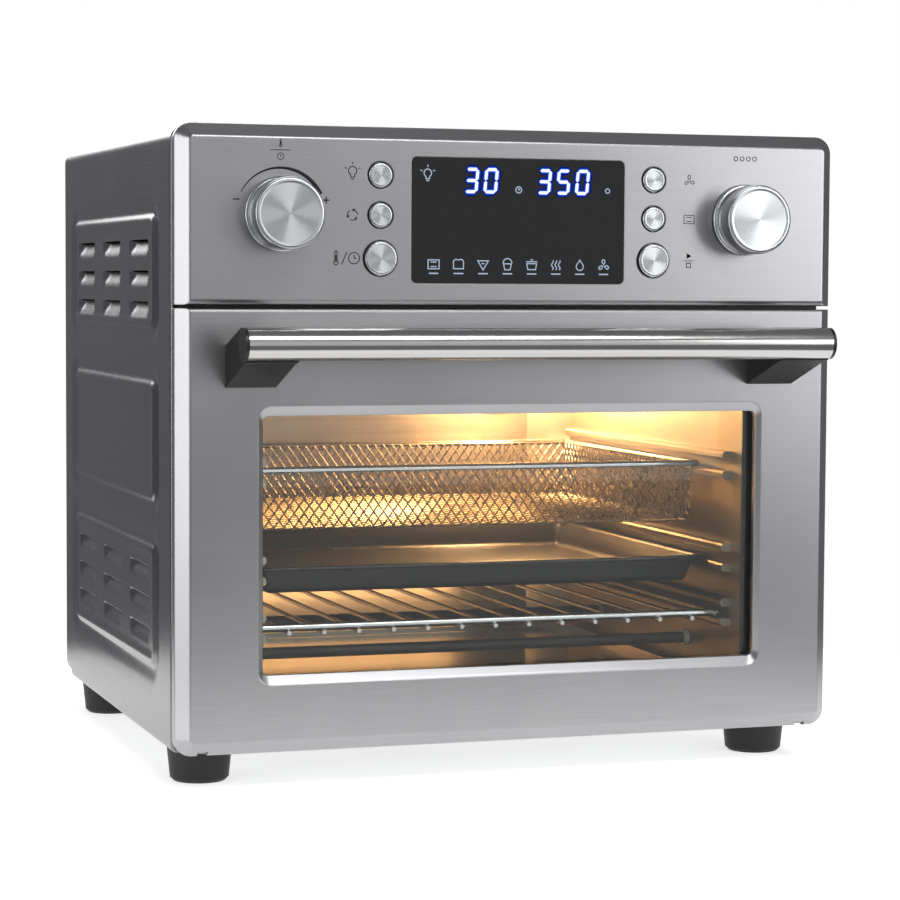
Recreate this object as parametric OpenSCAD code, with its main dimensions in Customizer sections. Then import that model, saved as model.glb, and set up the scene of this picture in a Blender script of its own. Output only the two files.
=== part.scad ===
// Countertop toaster oven with an air-fryer fan and a drop-down glass door.
// Inside every module, y is the depth behind the front faces and z the height
// above the bottom of the body; placed() carries that to the part's own frame,
// whose origin is the middle of the bounding box at the level of the feet.

/* [Body] */
// Width over the embossed side fields
body_w = 400; // [370:1:440]
// Height without the feet
body_h = 353; // [330:1:400]
// Depth from the front faces to the back cover
body_d = 348; // [320:1:400]
// Thickness of the pressed steel sheet
sheet = 1; // [0.8:0.1:1.2]
// Corner radius of the housing in front view
housing_r = 10; // [8:1:12]
// Height of the embossed fields above the housing sides
emboss_h = 1; // [1:0.5:3]
// Depth at which the housing sides begin
housing_front = 20; // [18:0.5:24]
// Depth of the back cover's rim
cover_rim = 22; // [18:1:26]
// Depth of the wall spacers behind the back cover
spacer_d = 12; // [8:1:20]

/* [Feet] */
// Height of a foot below the body
foot_h = 21.5; // [16:0.5:28]
// Diameter of a foot at its top
foot_top_d = 38; // [32:1:40]
// Diameter of a foot where it meets the worktop
foot_bottom_d = 34; // [28:1:36]
// Distance from the body side to a foot's centre
foot_side = 25; // [25:1:32]
// Depth of the front feet's centres
foot_front = 53; // [42:1:70]
// Distance from the back cover to the rear feet's centres
foot_rear = 36; // [34:1:60]

/* [Front trays] */
// Height of the control fascia
fascia_h = 100.5; // [98:0.5:104]
// Gap between the fascia and the door
seam = 2; // [1:0.5:3]
// Depth of the door and fascia trays
tray_d = 12; // [11:0.5:13]
// Corner radius of the trays in front view
tray_r = 10; // [9:0.5:14]
// Width of the bevel along the outer edges of the trays
edge_w = 7.5; // [6:0.5:8]

/* [Door] */
// Steel left beside the window on each side
window_side = 46.5; // [46:0.5:60]
// Steel left below the window
window_below = 39; // [38:0.5:50]
// Steel left above the window
window_above = 54.5; // [54.5:0.5:70]
// Corner radius of the window
window_r = 8; // [7:1:16]
// Depth of the folded lip round the window
lip_d = 6; // [4:0.5:6.5]
// How far the lip narrows the window on each side
lip_in = 3; // [2:0.5:5]
// How far the lip narrows the window at its top and bottom
lip_in_z = 5.5; // [3:0.5:6]
// Thickness of the tempered glass
glass_t = 4; // [3:0.5:4]
// Width of the glass held behind the lip
glass_grip = 8; // [6:0.5:9]
// Radius of the pivot pins
pivot_r = 2; // [1.5:0.25:2.25]
// Depth of the hinge axis
axis_d = 9; // [8.5:0.25:9.5]
// Height of the hinge axis
axis_z = 4; // [3.75:0.25:4.25]
// Radius of the stay arms about the hinge axis
stay_r = 60; // [54:1:64]
// Distance from the body side to each stay arm
stay_side = 30; // [28:1:32]

/* [Handle] */
// Diameter of the handle tube
handle_d = 18; // [16:1:20]
// Length of the handle tube
handle_w = 345; // [330:1:350]
// Drop of the handle's centre line below the door's top edge
handle_drop = 19; // [17.5:0.5:22]
// Distance from the door's face to the handle's centre line
handle_out = 47; // [40:1:52]
// Width of each handle bracket
bracket_w = 29; // [22:1:32]
// Wall of the handle tube
handle_wall = 1.2; // [1:0.1:1.6]

/* [Controls] */
// Distance from the body side to each knob
knob_side = 59; // [54:1:62]
// Height of the knobs above the fascia's lower edge
knob_rise = 50.5; // [47.5:0.5:55.5]
// Diameter of a knob
knob_d = 40; // [34:1:42]
// Reach of a knob in front of the fascia
knob_out = 22; // [18:1:26]
// Radius of a knob's shaft
knob_shaft_r = 3; // [2.5:0.25:3.5]
// Distance from the middle to the button columns
button_x = 83; // [80:1:86]
// Height of the upper buttons above the fascia's lower edge
button_top_rise = 73; // [71.5:0.5:75.5]
// Height of the middle buttons above the fascia's lower edge
button_mid_rise = 50.5; // [49.5:0.2:52.5]
// Height of the lower, larger buttons above the fascia's lower edge
button_low_rise = 26.3; // [25.5:0.2:28.5]
// Diameter of the small buttons
button_small_d = 14; // [12:0.5:16]
// Diameter of the large buttons
button_large_d = 19; // [17:0.5:21]
// Travel of a button
button_travel = 1.2; // [0.8:0.1:1.3]
// Width of the display
display_w = 129; // [110:1:132]
// Height of the display
display_h = 71; // [64:0.5:72]
// Height of the display's lower edge above the fascia's lower edge
display_rise = 12.6; // [11.5:0.1:15.5]

/* [Oven cavity] */
// Space between each cavity wall and the body side
cavity_side = 52.5; // [51.5:0.5:60]
// Height of the cavity floor
cavity_z0 = 24; // [22:1:26]
// Drop of the cavity ceiling below the door's top edge
cavity_drop = 24.5; // [20.5:0.5:28.5]
// Space between the cavity's back wall and the back cover
rear_space = 30; // [28:1:34]
// Width of the bevel in each rear corner
bevel_w = 26; // [16:1:30]
// Depth of the bevel in each rear corner
bevel_d = 16; // [10:1:24]
// How far the guide ribs stand out of the cavity walls
rib_out = 6; // [5:0.5:7]
// Height of one guide rib
rib_h = 5; // [4:0.5:5.5]
// Gap between the two ribs of a guide
guide_slot = 7; // [6.5:0.5:8]
// Height of the rack's guide
rack_guide_z = 63.8; // [62.4:0.2:64.8]
// Height of the pan's guide
pan_guide_z = 97; // [96:0.5:99]
// Height of the basket's guide
basket_guide_z = 152.8; // [152:0.2:156]

/* [Accessories] */
// Depth of the rack's front bar
rack_front = 38; // [34:1:44]
// Diameter of the rack's border wire
rack_wire_d = 4.5; // [4:0.25:5]
// Diameter of the rack's cross wires
rack_rod_d = 2.6; // [2:0.1:3]
// Spacing of the rack's cross wires
rack_pitch = 21; // [16:0.5:26]
// Depth of the pan's front edge
pan_front = 53; // [48:1:60]
// Depth of the pan below its rim
pan_deep = 16.5; // [12:0.5:18]
// Depth of the basket's front
basket_front = 70; // [60:1:80]
// Depth of the basket below its rim wire
basket_deep = 36; // [28:1:40]
// Diameter of the basket's rim wire
basket_wire_d = 4; // [3:0.25:4.5]
// Depth of the crumb tray's front lip
crumb_front = 22; // [21:1:26]

/* [Heating and fan] */
// Diameter of the heating elements
heater_d = 7; // [6:0.5:8]
// Height of the lower elements
heater_low_z = 44; // [42:1:46]
// Drop of the upper elements below the ceiling
heater_drop = 15; // [13:1:18]
// Radius of the fan opening in the ceiling
fan_r = 76; // [66:1:80]
// Height of the fan housing above the ceiling
fan_can_h = 22; // [18:1:24]
// Number of fan blades
fan_blades = 10; // [6:1:14]
// Radius of the motor
motor_r = 30; // [24:1:34]
// Radius of the fan shaft
shaft_r = 3; // [2.5:0.25:3.5]
// Distance from the cavity wall to the lamp
lamp_side = 49.5; // [47.5:0.5:57.5]
// Drop of the lamp below the ceiling
lamp_drop = 30; // [26:1:32]

/* [Clearances] */
// Gap beside and behind a piece that slides
slide_gap = 0.3; // [0.2:0.05:0.4]
// Radial clearance of a shaft or pin in its bore
run_gap = 0.05; // [0.03:0.01:0.08]
// Gap round a fixed piece in its seat
seat_gap = 0.2; // [0.1:0.05:0.3]
// Gap at each side of the accessories in the cavity
tray_gap = 2.5; // [2:0.25:3]

/* [Hidden] */
$fn = 48;

// Whole object
handle_reach = handle_out + handle_d / 2;
overall_d = handle_reach + body_d + spacer_d;
side_x = body_w / 2 - emboss_h;
door_h = body_h - fascia_h - seam;
fascia_z = body_h - fascia_h;
knob_x = body_w / 2 - knob_side;
knob_z = fascia_z + knob_rise;
display_z = fascia_z + display_rise;

// Front frame and what seats on it
frame_d = tray_d + 3;
frame_back = frame_d + sheet;
frame_x = body_w / 2 - 5;
flange_x = side_x - sheet - seat_gap;
flange_d = 14;
base_z = sheet + 0.3;
lip_back = 4;

// Cavity and accessories
cavity_x = body_w / 2 - cavity_side;
cavity_z1 = door_h - cavity_drop;
cavity_back = body_d - rear_space;
heater_top_z = cavity_z1 - heater_drop;
lamp_x = cavity_x - lamp_side;
lamp_z = cavity_z1 - lamp_drop;
tray_x = cavity_x - tray_gap;
rear_stop = cavity_back - bevel_d - 1;
rib_front = frame_back + 14;
rib_back = cavity_back - bevel_d - 6;

// Door
window_x = body_w / 2 - window_side;
window_z0 = window_below;
window_z1 = door_h - window_above;
handle_z = door_h - handle_drop;
stay_x = body_w / 2 - stay_side;
glass_front = lip_d;
glass_back = lip_d + glass_t;
glass_x = window_x - lip_in + glass_grip;
glass_z0 = window_z0 + lip_in_z - glass_grip;
glass_z1 = window_z1 - lip_in_z + glass_grip;
seal_t = 3;
lug_x = body_w / 2 - 16;
lug_t = 4;
ear_t = 2;
stay_t = 3;
stay_h = 8;

// Fan stack above the cavity
fan_d = (frame_back + cavity_back) / 2;
can_z1 = cavity_z1 + sheet + fan_can_h;
shield_z = can_z1 + 1;
cooling_z = shield_z + sheet + 4;
motor_z = cooling_z + 12;
motor_h = 40;
board_d = 11;
board_t = 1.6;

// Carries depth and height to the part's own frame.
module placed() translate([0, handle_reach - overall_d / 2, foot_h]) children();

// Extrudes an x-z outline along y, from depth d0 over a length.
module along_y(d0, length)
    translate([0, d0 + length, 0]) rotate([90, 0, 0]) linear_extrude(length) children();

// Extrudes a y-z outline along x, between x0 and x1.
module along_x(x0, x1)
    translate([x0, 0, 0]) rotate([90, 0, 90]) linear_extrude(x1 - x0) children();

// Cylinder along y and cylinder along x, by their start and length.
module rod_y(x, d0, z, r, length) translate([x, d0, z]) rotate([-90, 0, 0]) cylinder(r = r, h = length);
module rod_x(x0, d, z, r, length) translate([x0, d, z]) rotate([0, 90, 0]) cylinder(r = r, h = length);

// Box between two corners.
module block(lo, hi) translate(lo) cube(hi - lo);

// Rectangle with round corners between two corners.
module round_rect(lo, hi, r) {
    translate([lo[0] + r, lo[1]]) square([hi[0] - lo[0] - 2 * r, hi[1] - lo[1]]);
    translate([lo[0], lo[1] + r]) square([hi[0] - lo[0], hi[1] - lo[1] - 2 * r]);
    for (x = [lo[0] + r, hi[0] - r], z = [lo[1] + r, hi[1] - r]) translate([x, z]) circle(r);
}

// The same on the left and on the right.
module both_sides() {
    children();
    mirror([1, 0, 0]) children();
}

function arc(r, a0, a1, steps, centre) =
    [for (i = [0:steps]) let (a = a0 + (a1 - a0) * i / steps) centre + r * [cos(a), sin(a)]];

// Section through a block from u0 to u1, whose two front edges are rolled to radius r.
module rolled_section(u0, u1, r, depth) {
    translate([u0 + r, 0]) square([u1 - u0 - 2 * r, depth]);
    translate([u0, r]) square([u1 - u0, depth - r]);
    for (u = [u0 + r, u1 - r]) intersection() {
        translate([u, r]) circle(r);
        translate([u - r, 0]) square([2 * r, r]);
    }
}

// Block whose front edge is rolled to edge_r all round, and whose corners have corner_r.
module rolled_block(lo, hi, corner_r, edge_r, d0, d1) translate([0, d0, 0]) {
    depth = d1 - d0;
    translate([0, 0, lo[1] + corner_r]) linear_extrude(hi[1] - lo[1] - 2 * corner_r)
        rolled_section(lo[0], hi[0], edge_r, depth);
    translate([lo[0] + corner_r, 0, 0]) rotate([90, 0, 90]) linear_extrude(hi[0] - lo[0] - 2 * corner_r)
        mirror([1, -1]) rolled_section(lo[1], hi[1], edge_r, depth);
    for (x = [lo[0] + corner_r, hi[0] - corner_r], z = [lo[1] + corner_r, hi[1] - corner_r])
        translate([x, 0, z]) rotate([-90, 0, 0]) rotate_extrude() intersection() {
            rolled_section(-corner_r, corner_r, edge_r, depth);
            square([corner_r, depth]);
        }
}

// Pressed tray with a rolled front edge, open at the back.
module rolled_tray(lo, hi, corner_r, edge_r, d0, d1)
    difference() {
        rolled_block(lo, hi, corner_r, edge_r, d0, d1);
        rolled_block(lo + [sheet, sheet], hi - [sheet, sheet],
            corner_r - sheet, edge_r - sheet, d0 + sheet, d1 + 1);
    }

// Section of a bevelled corner out to corner_r: a bevel at 45 degrees of width w, between a bend
// of radius face_r on the face and one of radius side_r on the side.
bend_steps = 3;
module bevelled_corner(corner_r, w, face_r, side_r, depth)
    polygon(concat([[0, 0]],
        arc(face_r, -90, -45, bend_steps, [corner_r - w - face_r * tan(22.5), face_r]),
        arc(side_r, -45, 0, bend_steps, [corner_r - side_r, w + side_r * tan(22.5)]),
        [[corner_r, depth], [0, depth]]));

// Section through a block from u0 to u1, bevelled at its two front edges.
module bevelled_section(u0, u1, corner_r, w, face_r, side_r, depth) {
    translate([u0 + corner_r - 0.1, 0]) square([u1 - u0 - 2 * corner_r + 0.2, depth]);
    translate([u1 - corner_r, 0]) bevelled_corner(corner_r, w, face_r, side_r, depth);
    translate([u0 + corner_r, 0]) mirror([1, 0]) bevelled_corner(corner_r, w, face_r, side_r, depth);
}

// Block whose front edge is bevelled to width w all round, and whose corners have corner_r.
module bevelled_block(lo, hi, corner_r, w, face_r, side_r, d0, d1) translate([0, d0, 0]) {
    depth = d1 - d0;
    translate([0, 0, lo[1] + corner_r]) linear_extrude(hi[1] - lo[1] - 2 * corner_r)
        bevelled_section(lo[0], hi[0], corner_r, w, face_r, side_r, depth);
    translate([lo[0] + corner_r, 0, 0]) rotate([90, 0, 90]) linear_extrude(hi[0] - lo[0] - 2 * corner_r)
        mirror([1, -1]) bevelled_section(lo[1], hi[1], corner_r, w, face_r, side_r, depth);
    for (x = [lo[0] + corner_r, hi[0] - corner_r], z = [lo[1] + corner_r, hi[1] - corner_r])
        translate([x, 0, z]) rotate([-90, 0, 0]) rotate_extrude()
            bevelled_corner(corner_r, w, face_r, side_r, depth);
}

// Side profile that rolls the edge at the seam to radius r and ends the tray there; side is 1
// where the seam is at the top and -1 where it is at the bottom.
seam_steps = 3;
module seam_profile(z, side, r, inset) {
    bend = arc(r - inset, 180, 180 - 90 * side, seam_steps, [r, z - side * r]);
    back = tray_d + 2;
    along_x(-body_w, body_w) polygon(concat([bend[0] + 6 * (bend[0] - bend[1])], bend,
        [[back, z - side * inset], [back, z - side * 2 * body_h], [-1 - r, z - side * 2 * body_h]]));
}

// Front tray, open at the back: bevelled round three sides, and rolled along the seam.
face_bend = 2;
side_bend = 1.5;
seam_past = 30;
module front_tray(lo, hi, side, seam_r) {
    from = lo - [0, side < 0 ? seam_past : 0];
    to = hi + [0, side > 0 ? seam_past : 0];
    z = side > 0 ? hi[1] : lo[1];
    difference() {
        intersection() {
            bevelled_block(from, to, tray_r, edge_w, face_bend, side_bend, 0, tray_d);
            seam_profile(z, side, seam_r, 0);
        }
        intersection() {
            bevelled_block(from + [sheet, sheet], to - [sheet, sheet], tray_r - sheet,
                edge_w - (2 - sqrt(2)) * sheet, face_bend - sheet, side_bend - sheet, sheet, tray_d + 1);
            seam_profile(z, side, seam_r, sheet);
        }
    }
}

/* ---- Housing ---- */

field_front = 61;
field_rear = 40;
field_w = body_d - field_front - field_rear;
field_mid = (body_d + field_front - field_rear) / 2;
field_zs = [[43, 113.5], [body_h / 2 - 38, body_h / 2 + 31.5], [body_h - 115, body_h - 49.5]];
field_slope = 4;
louvre_l = 55;
louvre_h = 10;
louvre_deep = 7;
louvre_slot = 1.5;
louvre_pitch_d = 81;
louvre_pitch_z = 18;
louvre_zs = [77.5, body_h - 86.5];

// Raised field pressed out of one side, between two heights.
module side_field(z0, z1, grow)
    hull() {
        translate([side_x - 0.5, field_mid, (z0 + z1) / 2])
            cube([1, field_w + 2 * grow, z1 - z0 + 2 * grow], center = true);
        translate([side_x + emboss_h - 0.05, field_mid, (z0 + z1) / 2])
            cube([0.1, field_w - 2 * field_slope + 2 * grow, z1 - z0 - 2 * field_slope + 2 * grow],
                center = true);
    }

// One louvre's scoop: a pocket that slopes inwards to a slot at its top.
module louvre_wedge(grow, drop)
    along_y(-louvre_l / 2 + grow, louvre_l - 2 * grow)
        polygon([[0.01, -louvre_h / 2 + drop], [0.01, louvre_h / 2 + (drop > 0 ? 1 : 0)],
            [-louvre_deep, louvre_h / 2 + (drop > 0 ? 1 : 0)],
            [-louvre_deep, louvre_h / 2 - louvre_slot + drop]]);

module louvre_places()
    for (z = louvre_zs, row = [-1:1], column = [-1:1])
        translate([body_w / 2, field_mid + column * louvre_pitch_d, z + row * louvre_pitch_z]) children();

module wrap_outline(grow) {
    round_rect([-side_x - grow, -grow], [side_x + grow, body_h + grow], housing_r + grow);
    round_rect([-side_x - grow, -grow], [side_x + grow, body_h / 2], lip_back + grow);
}

module housing_wrap() color("dimgray") placed() {
    difference() {
        union() {
            along_y(housing_front, body_d - cover_rim - housing_front) difference() {
                wrap_outline(0);
                wrap_outline(-sheet);
                // Open between the two narrow lips under the body
                translate([-side_x + lip_back + 2, -1]) square([2 * (side_x - lip_back - 2), sheet + 2]);
            }
            both_sides() for (field = field_zs) side_field(field[0], field[1], 0);
        }
        both_sides() {
            for (field = field_zs) translate([-sheet, 0, 0]) side_field(field[0], field[1], 0);
            louvre_places() translate([-sheet / 2 - 1, 0, 0])
                cube([sheet + 4, louvre_l, louvre_h], center = true);
        }
    }
    both_sides() louvre_places() difference() {
        louvre_wedge(0, 0);
        louvre_wedge(sheet, sheet);
    }
}

vent_zs = [110, 160, body_h - 117, body_h - 67];
vent_count = 14;
vent_pitch = 16;
vent_w = 4;
vent_h = 22;

// Long slot with round ends, cut through along y.
module slot_cut(x, z, w, h, d0, length) along_y(d0, length) {
    translate([x, z - h / 2 + w / 2]) circle(w / 2, $fn = 24);
    translate([x, z + h / 2 - w / 2]) circle(w / 2, $fn = 24);
    translate([x - w / 2, z - h / 2 + w / 2]) square([w, h - w]);
}

cover_roll = 5;
gland_x = body_w / 2 - 50;
gland_z = 42;
gland_r = 8;

// Section of a flange inside the housing, open at the bottom and grown outwards.
module flange_outline(grow) difference() {
    round_rect([-flange_x - grow, sheet + seat_gap - grow],
        [flange_x + grow, body_h - sheet - seat_gap + grow], housing_r - 1.5 + grow);
    round_rect([-flange_x + sheet, 2 * sheet + seat_gap],
        [flange_x - sheet, body_h - 2 * sheet - seat_gap], housing_r - 2.5);
    translate([-side_x, -1]) square([2 * side_x, 18]);
}

module back_cover() color("gray") placed() difference() {
    union() {
        translate([0, body_d, 0]) mirror([0, 1, 0])
            rolled_tray([-side_x, 0], [side_x, body_h], housing_r, cover_roll, 0, cover_rim);
        // Joggled flange that slides inside the housing
        along_y(body_d - cover_rim, 4) flange_outline(sheet / 2 + seat_gap);
        along_y(body_d - cover_rim - 8, 12) flange_outline(0);
    }
    for (z = vent_zs, i = [0:vent_count - 1])
        slot_cut((i - (vent_count - 1) / 2) * vent_pitch, z,
            vent_w, vent_h, body_d - 5, 10);
    rod_y(gland_x, body_d - 5, gland_z, gland_r + seat_gap, 10);
    for (place = cover_screws) rod_y(place[0], body_d - 5, place[1], 1.7, 10);
    for (side = [-1, 1]) rod_y(side * spacer_x, body_d - 5, spacer_z, 2.2, 10);
}

screw_in = 16;
cover_screws = [for (x = [-1, 1], z = [screw_in, body_h / 2, body_h - screw_in]) [x * (body_w / 2 - screw_in), z]];
spacer_x = 120;
spacer_z = body_h - 35;

module wall_spacers() color([0.1, 0.1, 0.1]) placed() for (side = [-1, 1]) {
    difference() {
        translate([side * spacer_x, body_d, spacer_z]) rotate([-90, 0, 0]) rotate_extrude()
            polygon([[0, 0], [14, 0], [14, 3], [10, 5], [9, spacer_d - 2], [7, spacer_d], [0, spacer_d]]);
        rod_y(side * spacer_x, body_d + spacer_d - 6, spacer_z, 4, 7);
    }
    rod_y(side * spacer_x, body_d - 8, spacer_z, 2, 8.5);
}

// Inlet bush for the supply cord, which is not part of the model.
module cord_gland() color([0.12, 0.12, 0.12]) placed() difference() {
    union() {
        rod_y(gland_x, body_d - 12, gland_z, gland_r, 12.5);
        rod_y(gland_x, body_d, gland_z, gland_r + 4, 4);
        rod_y(gland_x, body_d - sheet - 3, gland_z, gland_r + 2, 3);
    }
    rod_y(gland_x, body_d - 13, gland_z, 4, 20);
}

base_flange = 14;
base_back = body_d - cover_rim - 0.5;

module base_plate() color("silver") placed() difference() {
    base_x = side_x - sheet - 2.5;
    union() {
        block([-base_x, frame_back, base_z], [base_x, base_back, base_z + sheet]);
        for (d = [frame_back, base_back - sheet])
            block([-base_x, d, base_z], [base_x, d + sheet, base_z + base_flange]);
        both_sides() {
            block([base_x - sheet, frame_back, base_z], [base_x, base_back, base_z + base_flange]);
            // Anchor tab of the door spring
            block([stay_x - 6, spring_back + slide_gap, base_z],
                [stay_x + 6, spring_back + slide_gap + 2, axis_z + 9]);
            // Upright that carries the cavity floor
            block([cavity_x - 22, 60, base_z], [cavity_x - 20, cavity_back - 38, cavity_z0 - sheet]);
        }
    }
    for (x = [-1, 1], d = [foot_front, body_d - foot_rear])
        translate([x * (body_w / 2 - foot_side), d, 0]) cylinder(r = 2.6, h = 20);
    for (row = [0:2], i = [0:9])
        translate([(i - 4.5) * 22, 100 + row * 70, 0]) {
            translate([0, -14, 0]) cylinder(r = 2.5, h = 10, $fn = 24);
            translate([0, 14, 0]) cylinder(r = 2.5, h = 10, $fn = 24);
            translate([-2.5, -14, 0]) cube([5, 28, 10]);
        }
}

module foot(x, d) placed() translate([x, d, 0]) {
    difference() {
        translate([0, 0, -foot_h]) rotate_extrude()
            polygon([[0, 0], [foot_bottom_d / 2 - 2, 0], [foot_bottom_d / 2, 2],
                [foot_top_d / 2, foot_h], [0, foot_h]]);
        translate([0, 0, -foot_h - 1]) cylinder(r = 5, h = foot_h - 4);
    }
    // Spigot and its snap-in head through the base plate
    cylinder(r = 10, h = base_z);
    cylinder(r = 2.5, h = base_z + sheet + 4);
    translate([0, 0, base_z + sheet]) cylinder(r = 4, h = 3);
}

foot_x = body_w / 2 - foot_side;
module foot_front_left() color([0.08, 0.08, 0.08]) foot(-foot_x, foot_front);
module foot_front_right() color([0.08, 0.08, 0.08]) foot(foot_x, foot_front);
module foot_rear_left() color([0.08, 0.08, 0.08]) foot(-foot_x, body_d - foot_rear);
module foot_rear_right() color([0.08, 0.08, 0.08]) foot(foot_x, body_d - foot_rear);

/* ---- Front frame and cavity ---- */

module ring_outline(x, z0, z1, r, wall) difference() {
    round_rect([-x, z0], [x, z1], r);
    round_rect([-x + wall, z0 + wall], [x - wall, z1 - wall], r - wall);
}

// Upper opening of the frame, behind the fascia.
control_x = body_w / 2 - 28;
control_z = [fascia_z + 6, body_h - 9];

module front_frame() color([0.25, 0.25, 0.26]) placed() difference() {
    union() {
        along_y(frame_d, sheet) round_rect([-frame_x, base_z], [frame_x, body_h - 3], housing_r - 2);
        along_y(frame_d, housing_front - frame_d) difference() {
            ring_outline(frame_x, base_z, body_h - 3, housing_r - 2, sheet);
            translate([-side_x, 0]) square([2 * side_x, 18]);
        }
        // Joggle out to the flange that carries the housing
        along_y(housing_front - sheet, sheet) difference() {
            round_rect([-flange_x, sheet + seat_gap], [flange_x, body_h - sheet - seat_gap], housing_r - 1.5);
            round_rect([-frame_x + sheet, base_z + sheet], [frame_x - sheet, body_h - 3 - sheet], housing_r - 3);
            translate([-side_x, 0]) square([2 * side_x, 18]);
        }
        along_y(housing_front - sheet, flange_d) flange_outline(0);
    }
    // Mouth of the cavity
    block([-cavity_x, frame_d - 1, cavity_z0], [cavity_x, frame_back + 1, cavity_z1]);
    block([-control_x, frame_d - 1, control_z[0]], [control_x, frame_back + 1, control_z[1]]);
    for (place = post_places) rod_y(place[0], frame_d - 1, place[1], post_screw_r + seat_gap, sheet + 2);
    // Slots for the stay arms
    both_sides() block([stay_x - stay_t / 2 - 1.5, frame_d - 1, axis_z + stay_r - 7],
        [stay_x + stay_t / 2 + 1.5, frame_back + 1, axis_z + stay_r + 6]);
}

// One pressed guide rib, hollow behind.
module guide_rib(z, inner) {
    e = inner ? sheet : 0;
    along_y(rib_front + e, rib_back - rib_front - 2 * e)
        polygon([[cavity_x + (inner ? 2 : 0), z + e], [cavity_x - rib_out + e + 1.2, z + e],
            [cavity_x - rib_out + e, z + 1.2 + e / 2], [cavity_x - rib_out + e, z + rib_h - 1.2 - e / 2],
            [cavity_x - rib_out + e + 1.2, z + rib_h - e], [cavity_x + (inner ? 2 : 0), z + rib_h - e]]);
}

guide_zs = [rack_guide_z, pan_guide_z, basket_guide_z];
rib_zs = [for (z = guide_zs) each [z - rib_h, z + guide_slot]];
low_heater_ds = [95, cavity_back - 78];
top_heater_ds = [52, 82, cavity_back - 66, cavity_back - 36];
bush_r = 5;

// Plan outline of the cavity's side and rear walls, grown outwards.
module cavity_plan(grow)
    polygon([[-cavity_x - grow, frame_back - (grow > 0 ? 0 : 1)], [cavity_x + grow, frame_back - (grow > 0 ? 0 : 1)],
        [cavity_x + grow, cavity_back - bevel_d + grow / 2], [cavity_x - bevel_w + grow / 2, cavity_back + grow],
        [-cavity_x + bevel_w - grow / 2, cavity_back + grow], [-cavity_x - grow, cavity_back - bevel_d + grow / 2]]);

module cavity_wall() color("goldenrod") placed() difference() {
    union() {
        translate([0, 0, cavity_z0]) linear_extrude(cavity_z1 - cavity_z0) difference() {
            cavity_plan(sheet);
            cavity_plan(0);
        }
        both_sides() {
            block([cavity_x + sheet / 2, frame_back, cavity_z0], [cavity_x + 12, frame_back + sheet, cavity_z1]);
            for (z = rib_zs) guide_rib(z, false);
        }
    }
    both_sides() {
        for (z = rib_zs) guide_rib(z, true);
        for (d = low_heater_ds) rod_x(cavity_x - 1, d, heater_low_z, bush_r, 5);
        for (d = top_heater_ds) rod_x(cavity_x - 1, d, heater_top_z, bush_r, 5);
    }
    rod_y(lamp_x, cavity_back - 1, lamp_z, lamp_hole_r, 5);
    rod_y(-lamp_x, cavity_back - 1, lamp_z, 2.5, 5);
}

module cavity_ceiling() color("darkgoldenrod") placed() difference() {
    union() {
        block([-cavity_x - 10, frame_back, cavity_z1], [cavity_x + 10, cavity_back + sheet, cavity_z1 + sheet]);
        block([-cavity_x - 10, frame_back, cavity_z1], [cavity_x + 10, frame_back + sheet, cavity_z1 + 12]);
    }
    translate([0, fan_d, cavity_z1 - 1]) cylinder(r = fan_r, h = sheet + 2, $fn = 96);
}

module cavity_floor() color("darkgoldenrod") placed() difference() {
    union() {
        block([-cavity_x - 10, frame_back, cavity_z0 - sheet], [cavity_x + 10, cavity_back + sheet, cavity_z0]);
        block([-cavity_x - 10, frame_back, cavity_z0 - 7], [cavity_x + 10, frame_back + sheet, cavity_z0]);
    }
    // Drain dimples are pressed as three shallow slots at the rear
    for (x = [-60, 0, 60]) translate([x - 15, cavity_back - 12, cavity_z0 - 2]) cube([30, 4, 4]);
}

module heat_shield() color("lightgray") placed() difference() {
    shield_x = flange_x - 14;
    union() {
        block([-shield_x, 44, shield_z], [shield_x, base_back - 12, shield_z + sheet]);
        both_sides() {
            block([shield_x - sheet, 44, shield_z - 12], [shield_x, base_back - 12, shield_z]);
            // Legs down to the cavity ceiling
            block([cavity_x - 6, 60, cavity_z1 + sheet], [cavity_x - 5, cavity_back - 38, shield_z]);
        }
    }
    translate([0, fan_d, shield_z - 1]) cylinder(r = shaft_r + 3, h = 5);
}

/* ---- Heating, fan and lamp ---- */

module element(d, z) rod_x(-cavity_x - 14, d, z, heater_d / 2, 2 * cavity_x + 28);

module heater_lower() color([0.35, 0.33, 0.32]) placed()
    for (d = low_heater_ds) element(d, heater_low_z);

module heater_upper() color([0.35, 0.33, 0.32]) placed()
    for (d = top_heater_ds) element(d, heater_top_z);

// Ceramic bush that holds one end of an element in the cavity wall.
module bushing(d, z) difference() {
    union() {
        rod_x(cavity_x - 3, d, z, bush_r - 0.1, 14);
        rod_x(cavity_x + sheet, d, z, bush_r + 3, 4);
    }
    rod_x(cavity_x - 4, d, z, heater_d / 2 + run_gap, 20);
}

module heater_bushings() color("ivory") placed() both_sides() {
    for (d = low_heater_ds) bushing(d, heater_low_z);
    for (d = top_heater_ds) bushing(d, heater_top_z);
}

module temperature_probe() color("silver") placed() {
    rod_y(-lamp_x, cavity_back - 25, lamp_z, 2.3, 33);
    rod_y(-lamp_x, cavity_back + sheet, lamp_z, 6, 3);
    rod_y(-lamp_x, cavity_back - 3, lamp_z, 4, 3);
}

guard_t = 0.8;
module fan_guard() color("silver") placed() difference() {
    translate([0, fan_d, cavity_z1 - guard_t]) cylinder(r = fan_r + 8, h = guard_t, $fn = 96);
    translate([0, fan_d, cavity_z1 - guard_t - 1])
        for (ring = [1:6], i = [0:6 * ring - 1])
            rotate(i * 60 / ring) translate([ring * 11, 0, 0]) cylinder(r = 3.4, h = 3, $fn = 24);
}

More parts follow.
